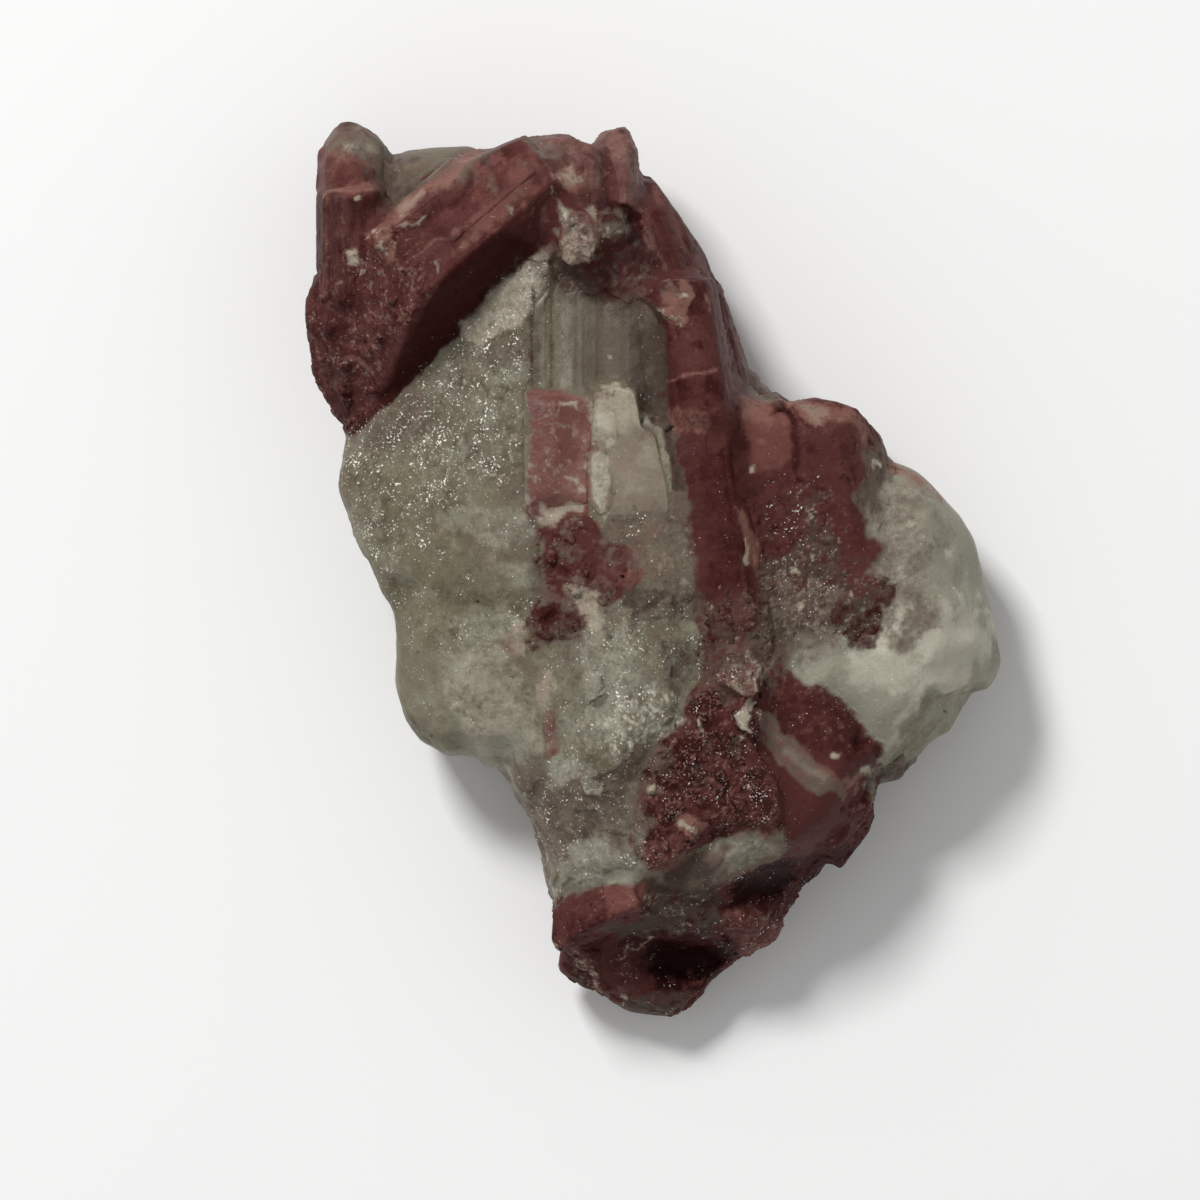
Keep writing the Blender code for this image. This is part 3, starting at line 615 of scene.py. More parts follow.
class Wire:
    """A shader socket that arithmetic adds Math nodes to."""

    def __init__(self, paint: "Paint", socket: bpy.types.NodeSocket) -> None:
        """Keeps the socket and the material it belongs to.

        Args:
            paint: The material's maker.
            socket: The output socket.
        """
        self.paint = paint
        self.socket = socket

    def _math(self, operation: str, *values: "Wire | float") -> "Wire":
        """The result of one Math node."""
        return self.paint.node("Math", {"operation": operation}, dict(enumerate(values)))

    def __add__(self, other: "Wire | float") -> "Wire":
        """The sum."""
        return self._math("ADD", self, other)

    __radd__ = __add__

    def __sub__(self, other: "Wire | float") -> "Wire":
        """The difference."""
        return self._math("SUBTRACT", self, other)

    def __rsub__(self, other: float) -> "Wire":
        """The difference the other way round."""
        return self._math("SUBTRACT", other, self)

    def __mul__(self, other: "Wire | float") -> "Wire":
        """The product."""
        return self._math("MULTIPLY", self, other)

    __rmul__ = __mul__

    def eased(self, low: float, high: float) -> "Wire":
        """A soft step.

        Args:
            low: Where it starts, at 0.
            high: Where it ends, at 1.

        Returns:
            The step's height.
        """
        return self.paint.node(
            "MapRange",
            {"interpolation_type": "SMOOTHSTEP"},
            {"Value": self, "From Min": low, "From Max": high},
        )


class Paint:
    """One node-based material in the making."""

    def __init__(self, name: str) -> None:
        """Starts the material with its shader.

        Args:
            name: The material's name.
        """
        self.material = bpy.data.materials.new(name)
        self.material.use_nodes = True
        self.tree = self.material.node_tree
        self.shader = self.tree.nodes["Principled BSDF"]

    def node(
        self, kind: str, settings: dict, inputs: dict, output: str | int = 0
    ) -> Wire:
        """Adds a node.

        Args:
            kind: The node's type, without its prefix.
            settings: Its settings, which are set first.
            inputs: The values or wires of its sockets, by name or place.
            output: Which output is wanted, by name or place.

        Returns:
            The wire from that output.
        """
        made = self.tree.nodes.new(f"ShaderNode{kind}")
        for name, value in settings.items():
            setattr(made, name, value)
        for name, value in inputs.items():
            self.feed(made.inputs[name], value)
        return Wire(self, made.outputs[output])

    def feed(self, socket: bpy.types.NodeSocket, value: object) -> None:
        """Links a wire to a socket, or sets its value.

        Args:
            socket: The socket.
            value: A wire, a number, a colour or a vector.
        """
        if isinstance(value, Wire):
            self.tree.links.new(value.socket, socket)
        elif isinstance(value, tuple) and socket.type == "RGBA":
            socket.default_value = (*value, 1)
        else:
            socket.default_value = value

    def mixed(self, under: object, over: object, share: object) -> Wire:
        """One colour laid over another.

        Args:
            under: The colour below.
            over: The colour above.
            share: How much of it shows.

        Returns:
            The mixed colour.
        """
        return self.node("Mix", {"data_type": "RGBA"}, {0: share, 6: under, 7: over}, 2)

    def noise(self, coords: Wire, size: float, detail: float, roughness: float = 0.55) -> Wire:
        """Cloudy noise.

        Args:
            coords: The coordinates, in metres.
            size: The clouds' size, in metres.
            detail: How many smaller sizes there are.
            roughness: How strong the smaller sizes are.

        Returns:
            Values around a half.
        """
        inputs = {"Vector": coords, "Scale": 1 / size, "Detail": detail, "Roughness": roughness}
        return self.node("TexNoise", {}, inputs)

    def vector(self, operation: str, *values: object) -> Wire:
        """Vector arithmetic."""
        return self.node("VectorMath", {"operation": operation}, dict(enumerate(values)))

    def scaled(self, vector: Wire, scale: "Wire | float") -> Wire:
        """A vector times a number."""
        return self.node("VectorMath", {"operation": "SCALE"}, {0: vector, "Scale": scale})

    def channel(self, colour: Wire, place: int) -> Wire:
        """One of a colour's three channels."""
        return self.node("SeparateColor", {}, {0: colour}, place)

    def share_held(self, name: str) -> Wire:
        """The number that the mesh holds at each point under some name."""
        return self.node("Attribute", {"attribute_name": name}, {}, "Fac")

    def drawn_out(self, coords: Wire, turn: float, squeeze: float) -> Wire:
        """Coordinates that draw a pattern out along one way.

        Args:
            coords: The coordinates, in metres.
            turn: That way's angle from the first axis, about the upright.
            squeeze: What the coordinate along it is multiplied by.

        Returns:
            The new coordinates.
        """
        turned = self.node(
            "Mapping",
            {"vector_type": "TEXTURE"},
            {"Vector": coords, "Rotation": Vector((0, 0, turn))},
        )
        return self.vector("MULTIPLY", turned, Vector((squeeze, 1, 1)))


@dataclass(frozen=True)
class StoneFinish:
    """How one mineral is coloured, how it breaks and how it shines, with glints painted into its colour."""

    name: str
    body: Colour
    veil: Colour
    shade: Colour
    veil_size: float = 2.2 * MM
    flecks_to_a_veil: float = 7
    grains_to_a_veil: float = 20
    grain_share: float = 0.6
    mosaic: float = 0.42 * MM
    mosaic_wander: float = 0.9
    mosaic_tone: float = 0.2
    mosaic_tilt: float = 0.5
    sugar_size: float = 0.17 * MM
    sugar_tone: float = 0.9
    glint_size: float = 0.13 * MM
    glint_share: float = 0.10
    glint_turn: float = 0.7
    glint_squeeze: float = 0.45
    glint_cluster: float = 0.8 * MM
    glint_polish: float = 0.5
    # The colour of the painted glints
    glint_colour: Colour = (0.92, 0.90, 0.83)
    bump: float = 0.05 * MM
    roughness: float = 0.42
    roughness_span: float = 0.35
    translucence: float = 0.25
    depth: float = 1.0 * MM
    depth_colour: Colour = (1.0, 0.8, 0.65)
    gloss: float = 0.08
    streak_turn: float | None = None
    streak_squeeze: float = 0.045
    streak_size: float = 0.35 * MM
    streak_share: float = 0.5
    flake_size: float = 0.34 * MM
    flake_share: float = 0.0
    flake_strength: float = 0.85
    flake_colour: Colour = seen(128, 104, 94)
    # Near-black spots painted as the shade inside small pits
    pit_shade_strength: float = 0.8
    pit_shade_colour: Colour = (0.014, 0.005, 0.004)
    drift_size: float = 0.9 * MM
    tints: tuple[Tint, ...] = ()

    def dress(self, piece: bpy.types.Object) -> None:
        """Gives the piece this finish.

        Args:
            piece: The piece, with its tints and grit as attributes.
        """
        paint = Paint(f"{self.name}_{piece.name}")
        coords = paint.node("TexCoord", {}, {}, "Object")
        grit = paint.share_held("grit")
        fleck = paint.noise(coords, self.veil_size / self.flecks_to_a_veil, 5, 0.62)
        wander = paint.node(
            "TexNoise", {}, {"Vector": coords, "Scale": 1 / self.mosaic, "Detail": 2.0}, "Color"
        )
        wander = paint.vector("SUBTRACT", wander, HALF)
        wander = paint.scaled(wander, self.mosaic_wander * self.mosaic)
        bent = paint.vector("ADD", coords, wander)
        cells = paint.node(
            "TexVoronoi", {"feature": "F1"}, {"Vector": bent, "Scale": 1 / self.mosaic}, "Color"
        )
        tone = (paint.channel(cells, 0) - 0.5) * grit * self.mosaic_tone
        colour = self.clouded(paint, coords, fleck, tone)
        if self.streak_turn is not None:
            colour = self.streaked(paint, coords, colour)
        colour = self.tinted(paint, coords, colour, fleck + 0.5 * tone)
        if self.flake_share:
            colour = self.flaked(paint, coords, colour, grit)
        sugar = paint.noise(coords, self.sugar_size, 2, 0.7)
        colour = paint.scaled(colour, 1 + self.sugar_tone * (sugar - 0.5) * (0.35 + 0.65 * grit))
        # Painted highlights: pale glint spots mixed into the base colour, also made smoother below
        glint = self.glinting(paint, coords, grit, sugar)
        colour = paint.mixed(colour, self.glint_colour, glint)
        paint.feed(paint.shader.inputs["Base Color"], colour)
        rough = self.roughness + self.roughness_span * (fleck - 0.5)
        rough = rough * (1 - self.glint_polish * glint)
        paint.feed(paint.shader.inputs["Roughness"], rough)
        self.roughened(paint, coords, cells, fleck, grit)
        self.set_body(paint)
        piece.data.materials.clear()
        piece.data.materials.append(paint.material)

    def flaked(self, paint: Paint, coords: Wire, colour: Wire, grit: Wire) -> Wire:
        """Colour with pale flakes, and dark spots of painted shade for pits, scattered over the sugary
        parts.

        Args:
            paint: The material's maker.
            coords: The coordinates, in metres.
            colour: The colour so far.
            grit: How sugary the surface is.

        Returns:
            The flaked colour.
        """
        chips = paint.noise(coords, self.flake_size, 3, 0.6)
        pale = (chips + self.flake_share * grit).eased(0.66, 0.72) * grit.eased(0, 0.5)
        # Painted shade: near-black spots where pits would be, with no hollow under them
        pits = (chips - self.flake_share * grit).eased(0.36, 0.28) * grit.eased(0, 0.5)
        colour = paint.mixed(colour, self.pit_shade_colour, pits * self.pit_shade_strength)
        return paint.mixed(colour, self.flake_colour, pale * self.flake_strength)

    def glinting(self, paint: Paint, coords: Wire, grit: Wire, sugar: Wire) -> Wire:
        """How much painted glint each point gets, a pale colour that stands in for small highlights.

        Args:
            paint: The material's maker.
            coords: The coordinates, in metres.
            grit: How sugary the surface is.
            sugar: Very fine noise.

        Returns:
            Values from 0 to 1, above 0 on the small painted glints alone.
        """
        rows = paint.drawn_out(coords, self.glint_turn, self.glint_squeeze)
        cluster = paint.noise(rows, self.glint_cluster, 5, 0.72)
        fine = paint.noise(coords, self.glint_size, 1, 0.5)
        level = fine + 0.35 * (sugar - 0.5) + 0.8 * (cluster - 0.5)
        chance = self.glint_share * grit
        return (level + chance).eased(0.82, 0.98) * grit.eased(0, 0.1)

    def clouded(self, paint: Paint, coords: Wire, fleck: Wire, tone: Wire) -> Wire:
        """The mineral's own colour with its veils and depths.

        Args:
            paint: The material's maker.
            coords: The coordinates, in metres.
            fleck: Fine noise.
            tone: How much lighter or darker each grain is.

        Returns:
            The colour.
        """
        veil = paint.noise(coords, self.veil_size, 6, 0.62) + tone + 0.25 * (fleck - 0.5)
        colour = paint.mixed(self.shade, self.body, veil.eased(0.3, 0.5))
        return paint.mixed(colour, self.veil, veil.eased(0.5, 0.7))

    def streaked(self, paint: Paint, coords: Wire, colour: Wire) -> Wire:
        """Colour with paler and darker lines along the prism.

        Args:
            paint: The material's maker.
            coords: The coordinates, in metres.
            colour: The colour so far.

        Returns:
            The streaked colour.
        """
        drawn = paint.drawn_out(coords, self.streak_turn, self.streak_squeeze)
        lines = paint.noise(drawn, self.streak_size, 3, 0.6)
        colour = paint.mixed(colour, self.veil, self.streak_share * lines.eased(0.52, 0.72))
        return paint.mixed(colour, self.shade, self.streak_share * lines.eased(0.48, 0.3))

    def tinted(self, paint: Paint, coords: Wire, colour: Wire, fleck: Wire) -> Wire:
        """Colour with the piece's own tints, their borders broken by the flecks.

        Args:
            paint: The material's maker.
            coords: The coordinates, in metres.
            colour: The colour so far.
            fleck: Fine noise.

        Returns:
            The tinted colour.
        """
        drift = paint.noise(coords, self.drift_size, 4, 0.65)
        uneven = (fleck - 0.5) * 1.6 + (drift - 0.5) * 1.8
        for tint in self.tints:
            held = paint.share_held(tint.attribute)
            share = (held + uneven * held * (1 - held) * 2.4).eased(0.06, 0.94)
            colour = paint.mixed(colour, tint.colour, share)
        return colour

    def roughened(
        self, paint: Paint, coords: Wire, cells: Wire, fleck: Wire, grit: Wire
    ) -> None:
        """Gives the surface its grains' own faces and its fine relief.

        Args:
            paint: The material's maker.
            coords: The coordinates, in metres.
            cells: A colour of its own for each grain.
            fleck: Fine noise.
            grit: How sugary the surface is.
        """
        normal = paint.node("NewGeometry", {}, {}, "Normal")
        tilt = paint.scaled(paint.vector("SUBTRACT", cells, HALF), grit * self.mosaic_tilt)
        faceted = paint.vector("NORMALIZE", paint.vector("ADD", normal, tilt))
        grain = paint.noise(coords, self.veil_size / self.grains_to_a_veil, 3)
        height = fleck + self.grain_share * grain
        bumped = paint.node(
            "Bump", {}, {"Height": height, "Distance": self.bump, "Normal": faceted}
        )
        paint.feed(paint.shader.inputs["Normal"], bumped)

    def set_body(self, paint: Paint) -> None:
        """Sets what is the same all over the mineral.

        Args:
            paint: The material's maker.
        """
        for name, value in {
            "Subsurface Weight": self.translucence,
            "Subsurface Radius": self.depth_colour,
            "Subsurface Scale": self.depth,
            "Specular IOR Level": self.gloss,
        }.items():
            paint.shader.inputs[name].default_value = value


# Pieces grown from the solids


class Solid:
    """One closed shape, ready to be searched."""

    def __init__(self, name: str, mesh: bpy.types.Mesh) -> None:
        """Reads the shape's faces.

        Args:
            name: What it is called.
            mesh: Its faces.
        """
        self.name = name
        shape = bmesh.new()
        shape.from_mesh(mesh)
        self.tree = BVHTree.FromBMesh(shape)
        corners = np.array([list(vert.co) for vert in shape.verts])
        shape.free()
        self.low = corners.min(axis=0) - CONTACT_REACH
        self.high = corners.max(axis=0) + CONTACT_REACH

    def close_to(self, points: np.ndarray) -> np.ndarray:
        """Which points are near enough to this shape to be searched."""
        inside = (points > self.low) & (points < self.high)
        return np.nonzero(inside.all(axis=1))[0]


class Skyline:
    """The upper surface of some shapes, as heights on a grid."""

    WALL = 0.4 * MM
    COVER = 0.35 * MM

    def __init__(self, solids: list[Solid], step: float) -> None:
        """Drops a ray on every place of the grid.

        Args:
            solids: The shapes.
            step: The grid's step, in metres.
        """
        self.step = step
        self.low = BOX[0] - 4 * step
        self.counts = np.ceil((BOX[1] - BOX[0])[:2] / step).astype(int) + 8
        self.top = np.zeros(tuple(self.counts))
        self.owner = np.full(tuple(self.counts), -1)
        down = Vector((0, 0, -1))
        for number, solid in enumerate(solids):
            first = np.maximum(((solid.low - self.low)[:2] / step).astype(int), 0)
            last = np.minimum(((solid.high - self.low)[:2] / step).astype(int) + 1, self.counts)
            for column, row in product(range(first[0], last[0]), range(first[1], last[1])):
                start = (self.low[0] + column * step, self.low[1] + row * step, 1.0)
                hit = solid.tree.ray_cast(Vector(start), down)[0]
                if hit is not None and hit.z > self.top[column, row]:
                    self.top[column, row] = hit.z
                    self.owner[column, row] = number
        self.bed = -self.spread(-self.top, self.WALL)

    def spread(self, heights: np.ndarray, reach: float) -> np.ndarray:
        """The highest value within a reach of each place.

        Args:
            heights: The values on the grid.
            reach: The reach in metres.

        Returns:
            The highest values, on the same grid.
        """
        steps = round(reach / self.step)
        padded = np.pad(heights, steps, mode="edge")
        highest = heights.copy()
        for column, row in product(range(2 * steps + 1), repeat=2):
            if (column - steps) ** 2 + (row - steps) ** 2 <= steps**2 + 1:
                part = padded[column:column + heights.shape[0], row:row + heights.shape[1]]
                highest = np.maximum(highest, part)
        return highest

    def blurred(self, heights: np.ndarray, reach: float) -> np.ndarray:
        """The values softened over a reach.

        Args:
            heights: The values on the grid.
            reach: The reach in metres.

        Returns:
            The softened values, on the same grid.
        """
        for _ in range(max(1, round(4 * (reach / self.step) ** 2))):
            wide = np.pad(heights, 1, mode="edge")
            around = wide[:-2, 1:-1] + wide[2:, 1:-1] + wide[1:-1, :-2] + wide[1:-1, 2:]
            heights = (4 * heights + around) / 8
        return heights

    def points(self, heights: np.ndarray) -> np.ndarray:
        """The grid's places at some heights.

        Args:
            heights: The heights on the grid.

        Returns:
            Positions in metres, three to a row.
        """
        columns, rows = np.indices(heights.shape)
        places = [self.low[0] + columns * self.step, self.low[1] + rows * self.step, heights]
        return np.stack([values.ravel() for values in places], axis=1)

    def read(self, heights: np.ndarray, points: np.ndarray) -> np.ndarray:
        """Values at some points, drawn straight between the grid's places.

        Args:
            heights: The values on the grid.
            points: Positions in metres, three to a row.

        Returns:
            One value for each point.
        """
        place = np.clip((points[:, :2] - self.low[:2]) / self.step, 0, self.counts - 1.001)
        home = place.astype(int)
        share = place - home
        total = np.zeros(len(points))
        for column, row in product((0, 1), repeat=2):
            weight = np.where(column, share[:, 0], 1 - share[:, 0])
            weight = weight * np.where(row, share[:, 1], 1 - share[:, 1])
            total += weight * heights[home[:, 0] + column, home[:, 1] + row]
        return total

    def bare(self, points: np.ndarray) -> np.ndarray:
        """How open to the sky each point is, from 0 to 1, the slots' walls with it."""
        covered = self.read(self.bed, points) - points[:, 2]
        return eased((2 * self.COVER - covered) / self.COVER)


@dataclass
class GrownPiece:
    """A detailed piece that stands for one solid of the cluster.

    The skin has faces of the size voxel, thinned where it is covered if faces is set. The
    share calm smooths the solid's own facets. The reliefs are worked in, the washes lie under
    the plan's colours, and grit is how sugary the stone is, with its own level in the gritty
    areas. The tint bleed shows beside the neighbours, and ground lies under all other tints
    there.
    """

    node: str
    slot: str
    finish: StoneFinish
    voxel: float = 0.135 * MM
    calm: float = 0.0
    calm_rounds: int = 24
    reliefs: Reliefs = ()
    washes: tuple[Wash, ...] = ()
    grit: float = 0.5
    gritty: Grits = ()
    bleed: Tint | None = None
    bleed_share: float = 0.5
    ground: Tint | None = None
    ground_calm: float = 0.6
    faces: int = 0
    laid: set[Tint] = field(default_factory=set)

    def build(self, solids: list[Solid], skyline: Skyline) -> bpy.types.Object:
        """Builds the piece and dresses it.

        Args:
            solids: The solids that it may touch.
            skyline: The cluster's upper surface.

        Returns:
            The finished piece.
        """
        piece = self.remeshed()
        if self.faces:
            self.thin(piece, skyline)
        mesh = piece.data
        points = self.read(mesh.vertices, "co")
        gap, reach = self.contact(points, solids)
        near = eased((CONTACT_REACH - gap) / CONTACT_FADE)
        points = self.calmed(points, mesh, near)
        points = self.worked(points, mesh, near) + reach
        points = np.clip(points, BOX[0] + BOX_MARGIN, BOX[1] - BOX_MARGIN)
        self.write(mesh, points)
        up = self.read(mesh.vertex_normals, "vector")[:, 2]
        self.paint(mesh, Plan(points, up), near)
        self.finished(piece)
        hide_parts(self.node)
        return piece

    def finished(self, piece: bpy.types.Object) -> None:
        """Dresses the piece and hangs it under the root body.

        Args:
            piece: The piece, with its tints and grit as attributes.
        """
        replace(self.finish, tints=self.tints()).dress(piece)
        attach(piece, "root")
        LOG.info("%s: %d faces", piece.name, len(piece.data.polygons))

    def tints(self) -> tuple[Tint, ...]:
        """The tints that this piece uses, in the palette's order."""
        return tuple(tint for tint in Tint if tint in self.laid)

    def remeshed(self) -> bpy.types.Object:
        """An even skin over a merged copy of the solid.

        Returns:
            The bare piece.
        """
        shape = bmesh.new()
        shape.from_mesh(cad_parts[self.node].data)
        bmesh.ops.remove_doubles(shape, verts=shape.verts, dist=WELD)
        mesh = bpy.data.meshes.new(self.node)
        shape.to_mesh(mesh)
        shape.free()
        piece = bpy.data.objects.new(f"{self.node}_stone", mesh)
        bpy.context.scene.collection.objects.link(piece)
        skin = piece.modifiers.new("Skin", "REMESH")
        skin.mode = "VOXEL"
        skin.voxel_size = self.voxel
        skin.use_smooth_shade = True
        self.settle(piece)
        return piece

    def thin(self, piece: bpy.types.Object, skyline: Skyline) -> None:
        """Leaves larger faces where the surface is covered or faces away.

        Args:
            piece: The piece.
            skyline: The cluster's upper surface.
        """
        mesh = piece.data
        points = self.read(mesh.vertices, "co")
        up = self.read(mesh.vertex_normals, "vector")[:, 2]
        shown = skyline.bare(points) * eased((up + 0.1) / 0.4)
        group = piece.vertex_groups.new(name="covered")
        group.add(np.nonzero(shown < 0.5)[0].tolist(), 1.0, "REPLACE")
        thinner = piece.modifiers.new("Thinner", "DECIMATE")
        thinner.vertex_group = group.name
        thinner.ratio = self.faces / (2 * len(mesh.polygons))
        self.settle(piece)
        piece.vertex_groups.clear()

    @staticmethod
    def settle(piece: bpy.types.Object) -> None:
        """Makes the modifiers' result the piece's own mesh.

        Args:
            piece: The piece.
        """
        graph = bpy.context.evaluated_depsgraph_get()
        piece.data = bpy.data.meshes.new_from_object(piece.evaluated_get(graph))
        piece.data.name = piece.name
        piece.modifiers.clear()

    @staticmethod
    def read(items: bpy.types.bpy_prop_collection, name: str) -> np.ndarray:
        """Reads vectors of a mesh.

        Args:
            items: What they belong to, such as the mesh's points.
            name: What they are called there.

        Returns:
            The vectors, three numbers to a row.
        """
        values = np.empty(len(items) * 3, np.float32)
        items.foreach_get(name, values)
        return values.reshape(-1, 3).astype(float)

    @staticmethod
    def write(mesh: bpy.types.Mesh, points: np.ndarray) -> None:
        """Moves the mesh's points."""
        mesh.vertices.foreach_set("co", points.astype(np.float32).ravel())
        mesh.update()

    @staticmethod
    def averaged(values: np.ndarray, edges: np.ndarray) -> np.ndarray:
        """Each point's mean of its neighbours' values.

        Args:
            values: One row for each point.
            edges: The mesh's edges, as pairs of points.

        Returns:
            The means, in the same rows.
        """
        ends = np.concatenate([edges[:, 0], edges[:, 1]])
        others = np.concatenate([edges[:, 1], edges[:, 0]])
        counts = np.maximum(np.bincount(ends, minlength=len(values)), 1)
        sums = [
            np.bincount(ends, values[others, axis], minlength=len(values))
            for axis in range(values.shape[1])
        ]
        return np.stack(sums, axis=1) / counts[:, None]

    def calmed(
        self, points: np.ndarray, mesh: bpy.types.Mesh, near: np.ndarray
    ) -> np.ndarray:
        """The points with the solid's facets smoothed where the stone is calm.

        Args:
            points: The skin's points.
            mesh: The skin.
            near: How close each point is to a neighbour, from 0 to 1.

        Returns:
            The smoothed points.
        """
        pairs = np.empty(len(mesh.edges) * 2, np.int32)
        mesh.edges.foreach_get("vertices", pairs)
        edges = pairs.reshape(-1, 2)
        for _ in range(2):
            points = points + 0.5 * (self.averaged(points, edges) - points)
        weight = (self.calm * (1 - near))[:, None]
        for _ in range(self.calm_rounds if self.calm else 0):
            points = points + weight * (self.averaged(points, edges) - points)
        return points

    def contact(
        self, points: np.ndarray, solids: list[Solid]
    ) -> tuple[np.ndarray, np.ndarray]:
        """The gap from each point to its neighbours, and the way that closes it.

        Args:
            points: The skin's points.
            solids: The solids that it may touch.

        Returns:
            The gaps in metres, and the moves that close them.
        """
        gaps = np.full(len(points), CONTACT_REACH)
        moves = np.zeros((len(points), 3))
        for solid in solids:
            if solid.name == self.node:
                continue
            for index in solid.close_to(points):
                found, _, _, distance = solid.tree.find_nearest(points[index], gaps[index])
                if found is not None and distance < gaps[index]:
                    gaps[index] = distance
                    moves[index] = found - Vector(points[index])
        unit = moves / np.maximum(gaps, 1e-9)[:, None]
        near = eased((CONTACT_REACH - gaps) / CONTACT_FADE)[:, None]
        return gaps, near * (0.5 * moves + CONTACT_OVERLAP * unit)

    def worked(
        self, points: np.ndarray, mesh: bpy.types.Mesh, near: np.ndarray
    ) -> np.ndarray:
        """The points with the reliefs worked in, and swollen at the neighbours.

        Args:
            points: The skin's points.
            mesh: The skin.
            near: How close each point is to a neighbour, from 0 to 1.

        Returns:
            The moved points.
        """
        self.write(mesh, points)
        normals = self.read(mesh.vertex_normals, "vector")
        plan = Plan(points)
        moved = points + (CONTACT_SWELL * near)[:, None] * normals
        for relief in self.reliefs:
            moved = moved + relief.move(plan, normals)
        return moved

    def paint(self, mesh: bpy.types.Mesh, plan: Plan, near: np.ndarray) -> None:
        """Stores the tints and the grit at the mesh's points.

        Args:
            mesh: The skin.
            plan: Its points' places on the plan.
            near: How close each point is to a neighbour, from 0 to 1.
        """
        shares = {self.ground: near.copy()} if self.ground else {}
        for wash in (*self.washes, *LAYOUT):
            laid = wash.strength * wash.area.share(plan) * plan.shown
            if laid.max() < LEAST_SHARE:
                continue
            for share in shares.values():
                share *= 1 - laid
            shares[wash.tint] = shares.get(wash.tint, 0) + laid
        if self.bleed:
            for share in shares.values():
                share *= 1 - self.bleed_share * near
            shares[self.bleed] = shares.get(self.bleed, 0) + self.bleed_share * near
        covered = np.clip(1 - sum(shares.values(), np.zeros(len(plan.x))), 0, 1)
        for tint in Tint:
            if tint in shares:
                covered = covered + shares[tint]
                part = np.where(covered > 1e-4, shares[tint] / np.maximum(covered, 1e-4), 1)
                self.store(mesh, tint.attribute, part)
        self.laid = set(shares)
        grit = np.full(len(plan.x), self.grit)
        for area, level in self.gritty:
            share = area.share(plan)
            grit = grit + share * (level - grit)
        if self.ground:
            grit = grit * (1 - self.ground_calm * near)
        self.store(mesh, "grit", grit)

    @staticmethod
    def store(mesh: bpy.types.Mesh, name: str, values: np.ndarray) -> None:
        """Stores one number at each point of the mesh."""
        layer = mesh.attributes.new(name, "FLOAT", "POINT")
        layer.data.foreach_set("value", values.astype(np.float32))


# The plan's colours, in the order in which they are laid

FOG, MILK, CREAM, SMOKE, OLIVE = Tint.FOG, Tint.MILK, Tint.CREAM, Tint.SMOKE, Tint.OLIVE
ROSE, SALMON, WINE, BLOOD, DUSK = Tint.ROSE, Tint.SALMON, Tint.WINE, Tint.BLOOD, Tint.DUSK
FROST = Tint.FROST

# Outlines that more than one tint fills, in pixels
PALE_CHIP = "374,232 400,226 406,260 380,262"
CREAM_GRAINS = "556,222 575,213 592,214 598,235 600,250 592,265 578,271 560,267 556,250"
CRUST = "640,750 700,690 752,700 768,770 775,835 650,872"
FAN_EDGE = "758,715 785,729 842,786 840,799 795,775"
SUGARY_SLOPE = "455,338 500,331 546,292 549,262 520,262 490,290"

KNOB_COLOURS = (
    patch(ROSE, 0.6, "310,196 310,120 398,118 398,196"),
    patch(SALMON, 0.5, "312,150 340,122 380,122 398,160 376,180 345,170", soft=16, ragged=20),
    patch(FOG, 0.6, "316,142 332,116 378,116 400,146 376,158 345,150", soft=16, ragged=20),
    patch(MILK, 0.35, "340,138 366,126 384,146 360,156", soft=10),
    line(CREAM, 0.45, 10, "350,147", soft=6),
    patch(WINE, 0.7, "308,166 340,162 362,174 352,192 312,198", soft=14, ragged=22),
    patch(WINE, 0.4, "360,168 392,158 396,190 362,188", soft=9),
    line(SALMON, 0.55, 6, "326,196 350,189 378,190"),
    # Painted glint on the ledge below the knob
    line(CREAM, 0.9, 5, "358,198"),
    patch(FOG, 0.75, "370,140 500,135 492,192 448,172 400,215 384,200", soft=12),
    patch(OLIVE, 0.4, "400,150 470,146 440,166 404,180"),
    cloud(SMOKE, 0.6, "380,144 495,138 490,190 448,176 400,212", 1.2, soft=12, ragged=20),
)
CORNER_COLOURS = (
    line(SALMON, 0.35, 5, "329,200 328,300", ragged=3),
    line(BLOOD, 0.55, 5, "336,200 335,300", ragged=3),
    line(SALMON, 0.3, 5, "345,200 345,300", ragged=3),
    line(BLOOD, 0.5, 8, "366,200 364,262", ragged=3),
    line(BLOOD, 0.5, 6, "318,215 316,300", ragged=3),
    patch(CREAM, 0.85, "349,248 361,246 362,268 352,266", soft=3, ragged=6),
)
